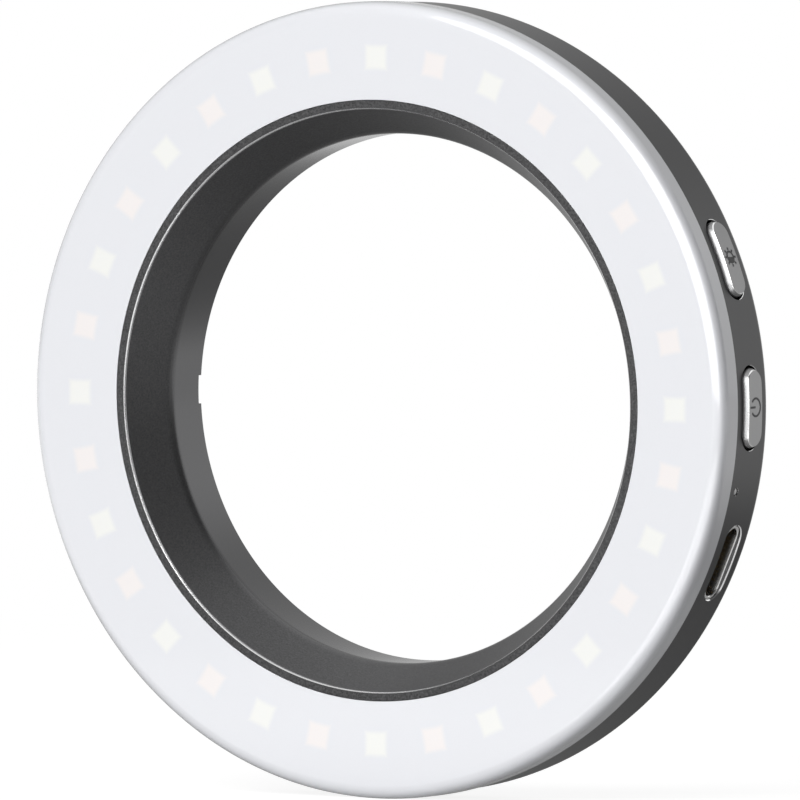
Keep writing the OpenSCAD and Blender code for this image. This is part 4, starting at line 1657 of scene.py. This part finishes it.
@dataclass
class InnerWorks(Assembly):
    """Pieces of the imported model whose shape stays, and which only get their finish."""

    finishes: dict[str, Finish] = field(
        default_factory=lambda: {
            "mount_magnets": Palette.nickel,
            "led_board": Palette.white_board,
            "reflector_sheet": Palette.film,
            "thermal_tape": Palette.tape,
            "led_board_screws": Palette.zinc,
            "led_feed_pins": Palette.gold,
            "main_board": Palette.green_board,
            "main_board_screws": Palette.zinc,
            "control_chips": Palette.epoxy,
            "boost_inductor": Palette.ferrite,
            "chip_capacitors": Palette.ceramic,
            "brightness_switch": Palette.black,
            "power_switch": Palette.black,
            "brightness_plunger": Palette.natural,
            "power_plunger": Palette.natural,
            "indicator_led": Palette.resin,
            "battery_socket": Palette.nylon,
            "battery_plug": Palette.nylon,
            "cell_pads": Palette.foam,
            "cell_tabs": Palette.strip,
            "positive_lead": Palette.red,
            "negative_lead": Palette.dark_lead,
            **{f"battery_cell_{number}": Palette.pouch for number in range(1, 7)},
        }
    )

    def build(self) -> None:
        """Gives each piece its finish."""
        for name, finish in self.finishes.items():
            self.dress(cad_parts[name], finish)
            LOG.info("%s: keeps its shape, finish %s", name, finish.name)


@dataclass
class Studio:
    """Camera, pale floor, soft lamps and white surroundings.

    The spans are places between which a zone of the surroundings, by direction, or of the floor,
    in metres, fades in or out.

    Attributes:
        azimuth: Degrees by which the camera stands to the ring's right.
        elevation: Degrees by which it looks down.
        sensor: Width of its sensor.
        lens: Its focal length.
        frame_width: Width of the picture at the light face.
        aim: Shift of the picture's middle to the right and up.
    """

    azimuth: float = 30.08
    elevation: float = 2.965
    sensor: float = 36.0
    lens: float = 1600.0
    clip: Span = (0.1, 100.0)
    frame_width: float = 89.87
    aim: Span = (2.716, 0.086)
    ambient: Span = (0.12, 0.3)
    dim_sky: float = 0.55
    dim_slope: float = 0.5
    dim_slant: Span = (0.05, 0.5)
    dim_high: Span = (0.8, 0.6)
    dark_side: float = 0.1
    dark_right: Span = (0.35, 0.6)
    dark_back: Span = (0.75, 0.6)
    dark_top: Span = (0.95, 0.82)
    dark_high: Span = (0.52, 0.66)
    dark_slope: float = 0.55
    dark_edge: float = 0.02
    floor_side: float = 6.0
    floor_share: float = 0.3
    floor_shown: float = 0.42
    floor_near: Span = (0.35, 0.08)
    # Painted shadow on the floor as reflections see it: its dark and pale levels, then the middle and reach
    # of the shadow behind the ring and the bounds of a dark patch to its right.
    painted_shadow_levels: Span = (0.15, 0.9)
    shade_middle: tuple[float, float, float] = (-0.02, 0.06, 0.0)
    shade_reach: Span = (0.05, 0.22)
    shade_right: Span = (0.05, 0.06)
    shade_back: Span = (0.1, 0.05)
    shade_start: float = 0.045
    shade_edge: float = 0.002
    floor_polish: float = 0.5
    polish_roughness: float = 0.15
    polish_front: Span = (-0.03, -0.06)
    polish_reach: Span = (0.34, 0.24)
    lamp_height: float = 14.0
    lamp_away: float = 1.2

    @staticmethod
    def put(name: str, data: bpy.types.ID, target: Vector, back: Vector, away: float) -> Object:
        """Adds a camera or lamp that looks at a target.

        Args:
            name: Name of the object.
            data: Camera or light.
            target: Point that it looks at.
            back: Direction from the target to it.
            away: Its distance from the target in metres.

        Returns:
            The object.
        """
        made = bpy.data.objects.new(name, data)
        bpy.context.scene.collection.objects.link(made)
        made.location = target + back * away
        made.rotation_euler = (-back).to_track_quat("-Z", "Y").to_euler()
        return made

    def camera(self) -> None:
        """Sets up the camera at the picture's viewing angle."""
        back, right = towards(self.azimuth, self.elevation), towards(self.azimuth + RIGHT_ANGLE, 0)
        shift = (right * self.aim[0] + back.cross(right) * self.aim[1]) * MM
        lens = bpy.data.cameras.new("camera")
        lens.sensor_width, lens.lens = self.sensor, self.lens
        lens.clip_start, lens.clip_end = self.clip
        away = self.frame_width * MM * self.lens / self.sensor
        target = at_ring(0, 0, 0, RING.front) + shift
        bpy.context.scene.camera = self.put("camera", lens, target, back, away)

    def lamp(self, name: str, azimuth: float, size: Span, power: float) -> Object:
        """Adds a soft lamp that looks at the ring.

        Args:
            name: Name of the lamp.
            azimuth: Degrees to the ring's right.
            size: Width and height in metres.
            power: Power in watts.

        Returns:
            The lamp.
        """
        light = bpy.data.lights.new(name, "AREA")
        light.shape = "RECTANGLE"
        light.size, light.size_y = size
        light.energy = power
        return self.put(name, light, Vector(), towards(azimuth, self.lamp_height), self.lamp_away)

    def surroundings(self) -> None:
        """Makes the world white where it is seen and plain where it lights the ring."""
        world = bpy.data.worlds.new("surroundings")
        bpy.context.scene.world = world
        wire = Wiring(emptied(world))
        x, y, z = wire.parts(wire.add("ShaderNodeTexCoord").outputs["Generated"])
        slant = wire.minus(z, wire.times(x, self.dim_slope))
        dim = wire.zone((slant, self.dim_slant), (z, self.dim_high))
        sky = wire.minus(1.0, wire.times(dim, 1 - self.dim_sky))
        side = wire.zone((x, self.dark_right), (y, self.dark_back), (z, self.dark_top))
        edge = wire.fade(wire.plus(y, wire.times(x, self.dark_slope)), -self.dark_edge, self.dark_edge)
        side = wire.times(side, wire.maths("MAXIMUM", edge, wire.fade(z, *self.dark_high)))
        white = wire.mix(wire.seen("Is Glossy Ray"), 1.0, wire.mix(side, sky, self.dark_side))
        rise = wire.mix(wire.fade(z, -1.0, 1.0), *self.ambient)
        mask = wire.seen("Is Camera Ray", "Is Glossy Ray", "Is Transmission Ray")
        inputs = {"Color": (1, 1, 1, 1), "Strength": wire.mix(mask, rise, white)}
        wire.add("ShaderNodeOutputWorld", {"Surface": wire.add("ShaderNodeBackground", inputs).outputs[0]})

    def floor(self) -> None:
        """Lays a white floor that keeps the ring's shadow and is polished in front of it. Seen in
        reflections, it carries a painted shadow behind the ring and a painted dark patch to its right.
        """
        half, low = self.floor_side / 2, -RING.face * MM
        sides = ((-half, -half), (half, -half), (half, half), (-half, half))
        corners = [Vector((x, y, low)) for x, y in sides]
        ground = make_object("studio_floor", corners, [(0, 1, 2, 3)])
        material = bpy.data.materials.new("studio_floor")
        wire = Wiring(emptied(material))
        place = wire.add("ShaderNodeTexCoord").outputs["Object"]
        x, y, _ = wire.parts(place)
        away = wire.add("ShaderNodeVectorMath", {0: place}, operation="LENGTH").outputs["Value"]
        near = wire.times(wire.fade(away, *self.floor_near), self.floor_share)
        gloss = wire.seen("Is Glossy Ray")
        # Painted shadow for reflections: the floor is darker round a point behind the ring and in a patch to
        # its right.
        inputs = {0: place, 1: self.shade_middle}
        behind = wire.add("ShaderNodeVectorMath", inputs, operation="DISTANCE").outputs["Value"]
        edge = wire.plus(y, wire.times(wire.minus(x, self.shade_start), self.dark_slope))
        spans = (x, self.shade_right), (y, self.shade_back), (edge, (-self.shade_edge, self.shade_edge))
        outside_painted_shadow = wire.times(wire.fade(behind, *self.shade_reach), wire.minus(1.0, wire.zone(*spans)))
        dull = wire.mix(gloss, self.ambient[0], wire.mix(outside_painted_shadow, *self.painted_shadow_levels))
        white = wire.minus(1.0, wire.times(near, self.floor_shown))
        strength = wire.mix(wire.seen("Is Camera Ray", "Is Transmission Ray"), dull, white)
        polish = wire.zone((y, self.polish_front), (away, self.polish_reach))
        polish = wire.times(polish, wire.times(gloss, self.floor_polish))
        lobes = (
            wire.add("ShaderNodeBsdfDiffuse", {"Color": near}),
            wire.add("ShaderNodeEmission", {"Color": (1, 1, 1, 1), "Strength": strength}),
            wire.add("ShaderNodeBsdfGlossy", {"Color": polish, "Roughness": self.polish_roughness}),
        )
        both = lobes[0].outputs[0]
        for lobe in lobes[1:]:
            both = wire.add("ShaderNodeAddShader", {0: both, 1: lobe.outputs[0]}).outputs[0]
        wire.add("ShaderNodeOutputMaterial", {"Surface": both})
        ground.data.materials.append(material)

    def build(self) -> None:
        """Sets up the whole studio."""
        bpy.context.scene.view_settings.view_transform = "Standard"
        self.camera()
        self.surroundings()
        self.floor()
        self.lamp("front_softbox", azimuth=-1.5, size=(1.04, 1.75), power=21.5)
        edge = self.lamp("edge_light", azimuth=34.0, size=(0.51, 1.75), power=11.0)
        edge.visible_diffuse = False


def main() -> None:
    """Builds the studio and the ring light, and reports each piece."""
    logging.basicConfig(level=logging.INFO, format="%(name)s: %(message)s")
    Studio().build()
    kit = Workshop(), Palette()
    assemblies = (
        Diffuser(*kit), Barrel(*kit), Housing(*kit), RearMount(*kit),
        PushButton(*kit, angle=22.0, sign=Sign.SUN, node="brightness_button", body=Body.BRIGHTNESS),
        PushButton(*kit, angle=0.0, sign=Sign.POWER, node="power_button", body=Body.POWER, sign_shift=0.12),
        ChargePort(*kit), StatusLamp(*kit), DiodeRing(*kit), InnerWorks(*kit),
    )
    for assembly in assemblies:
        assembly.build()


if __name__ == "__main__":
    main()
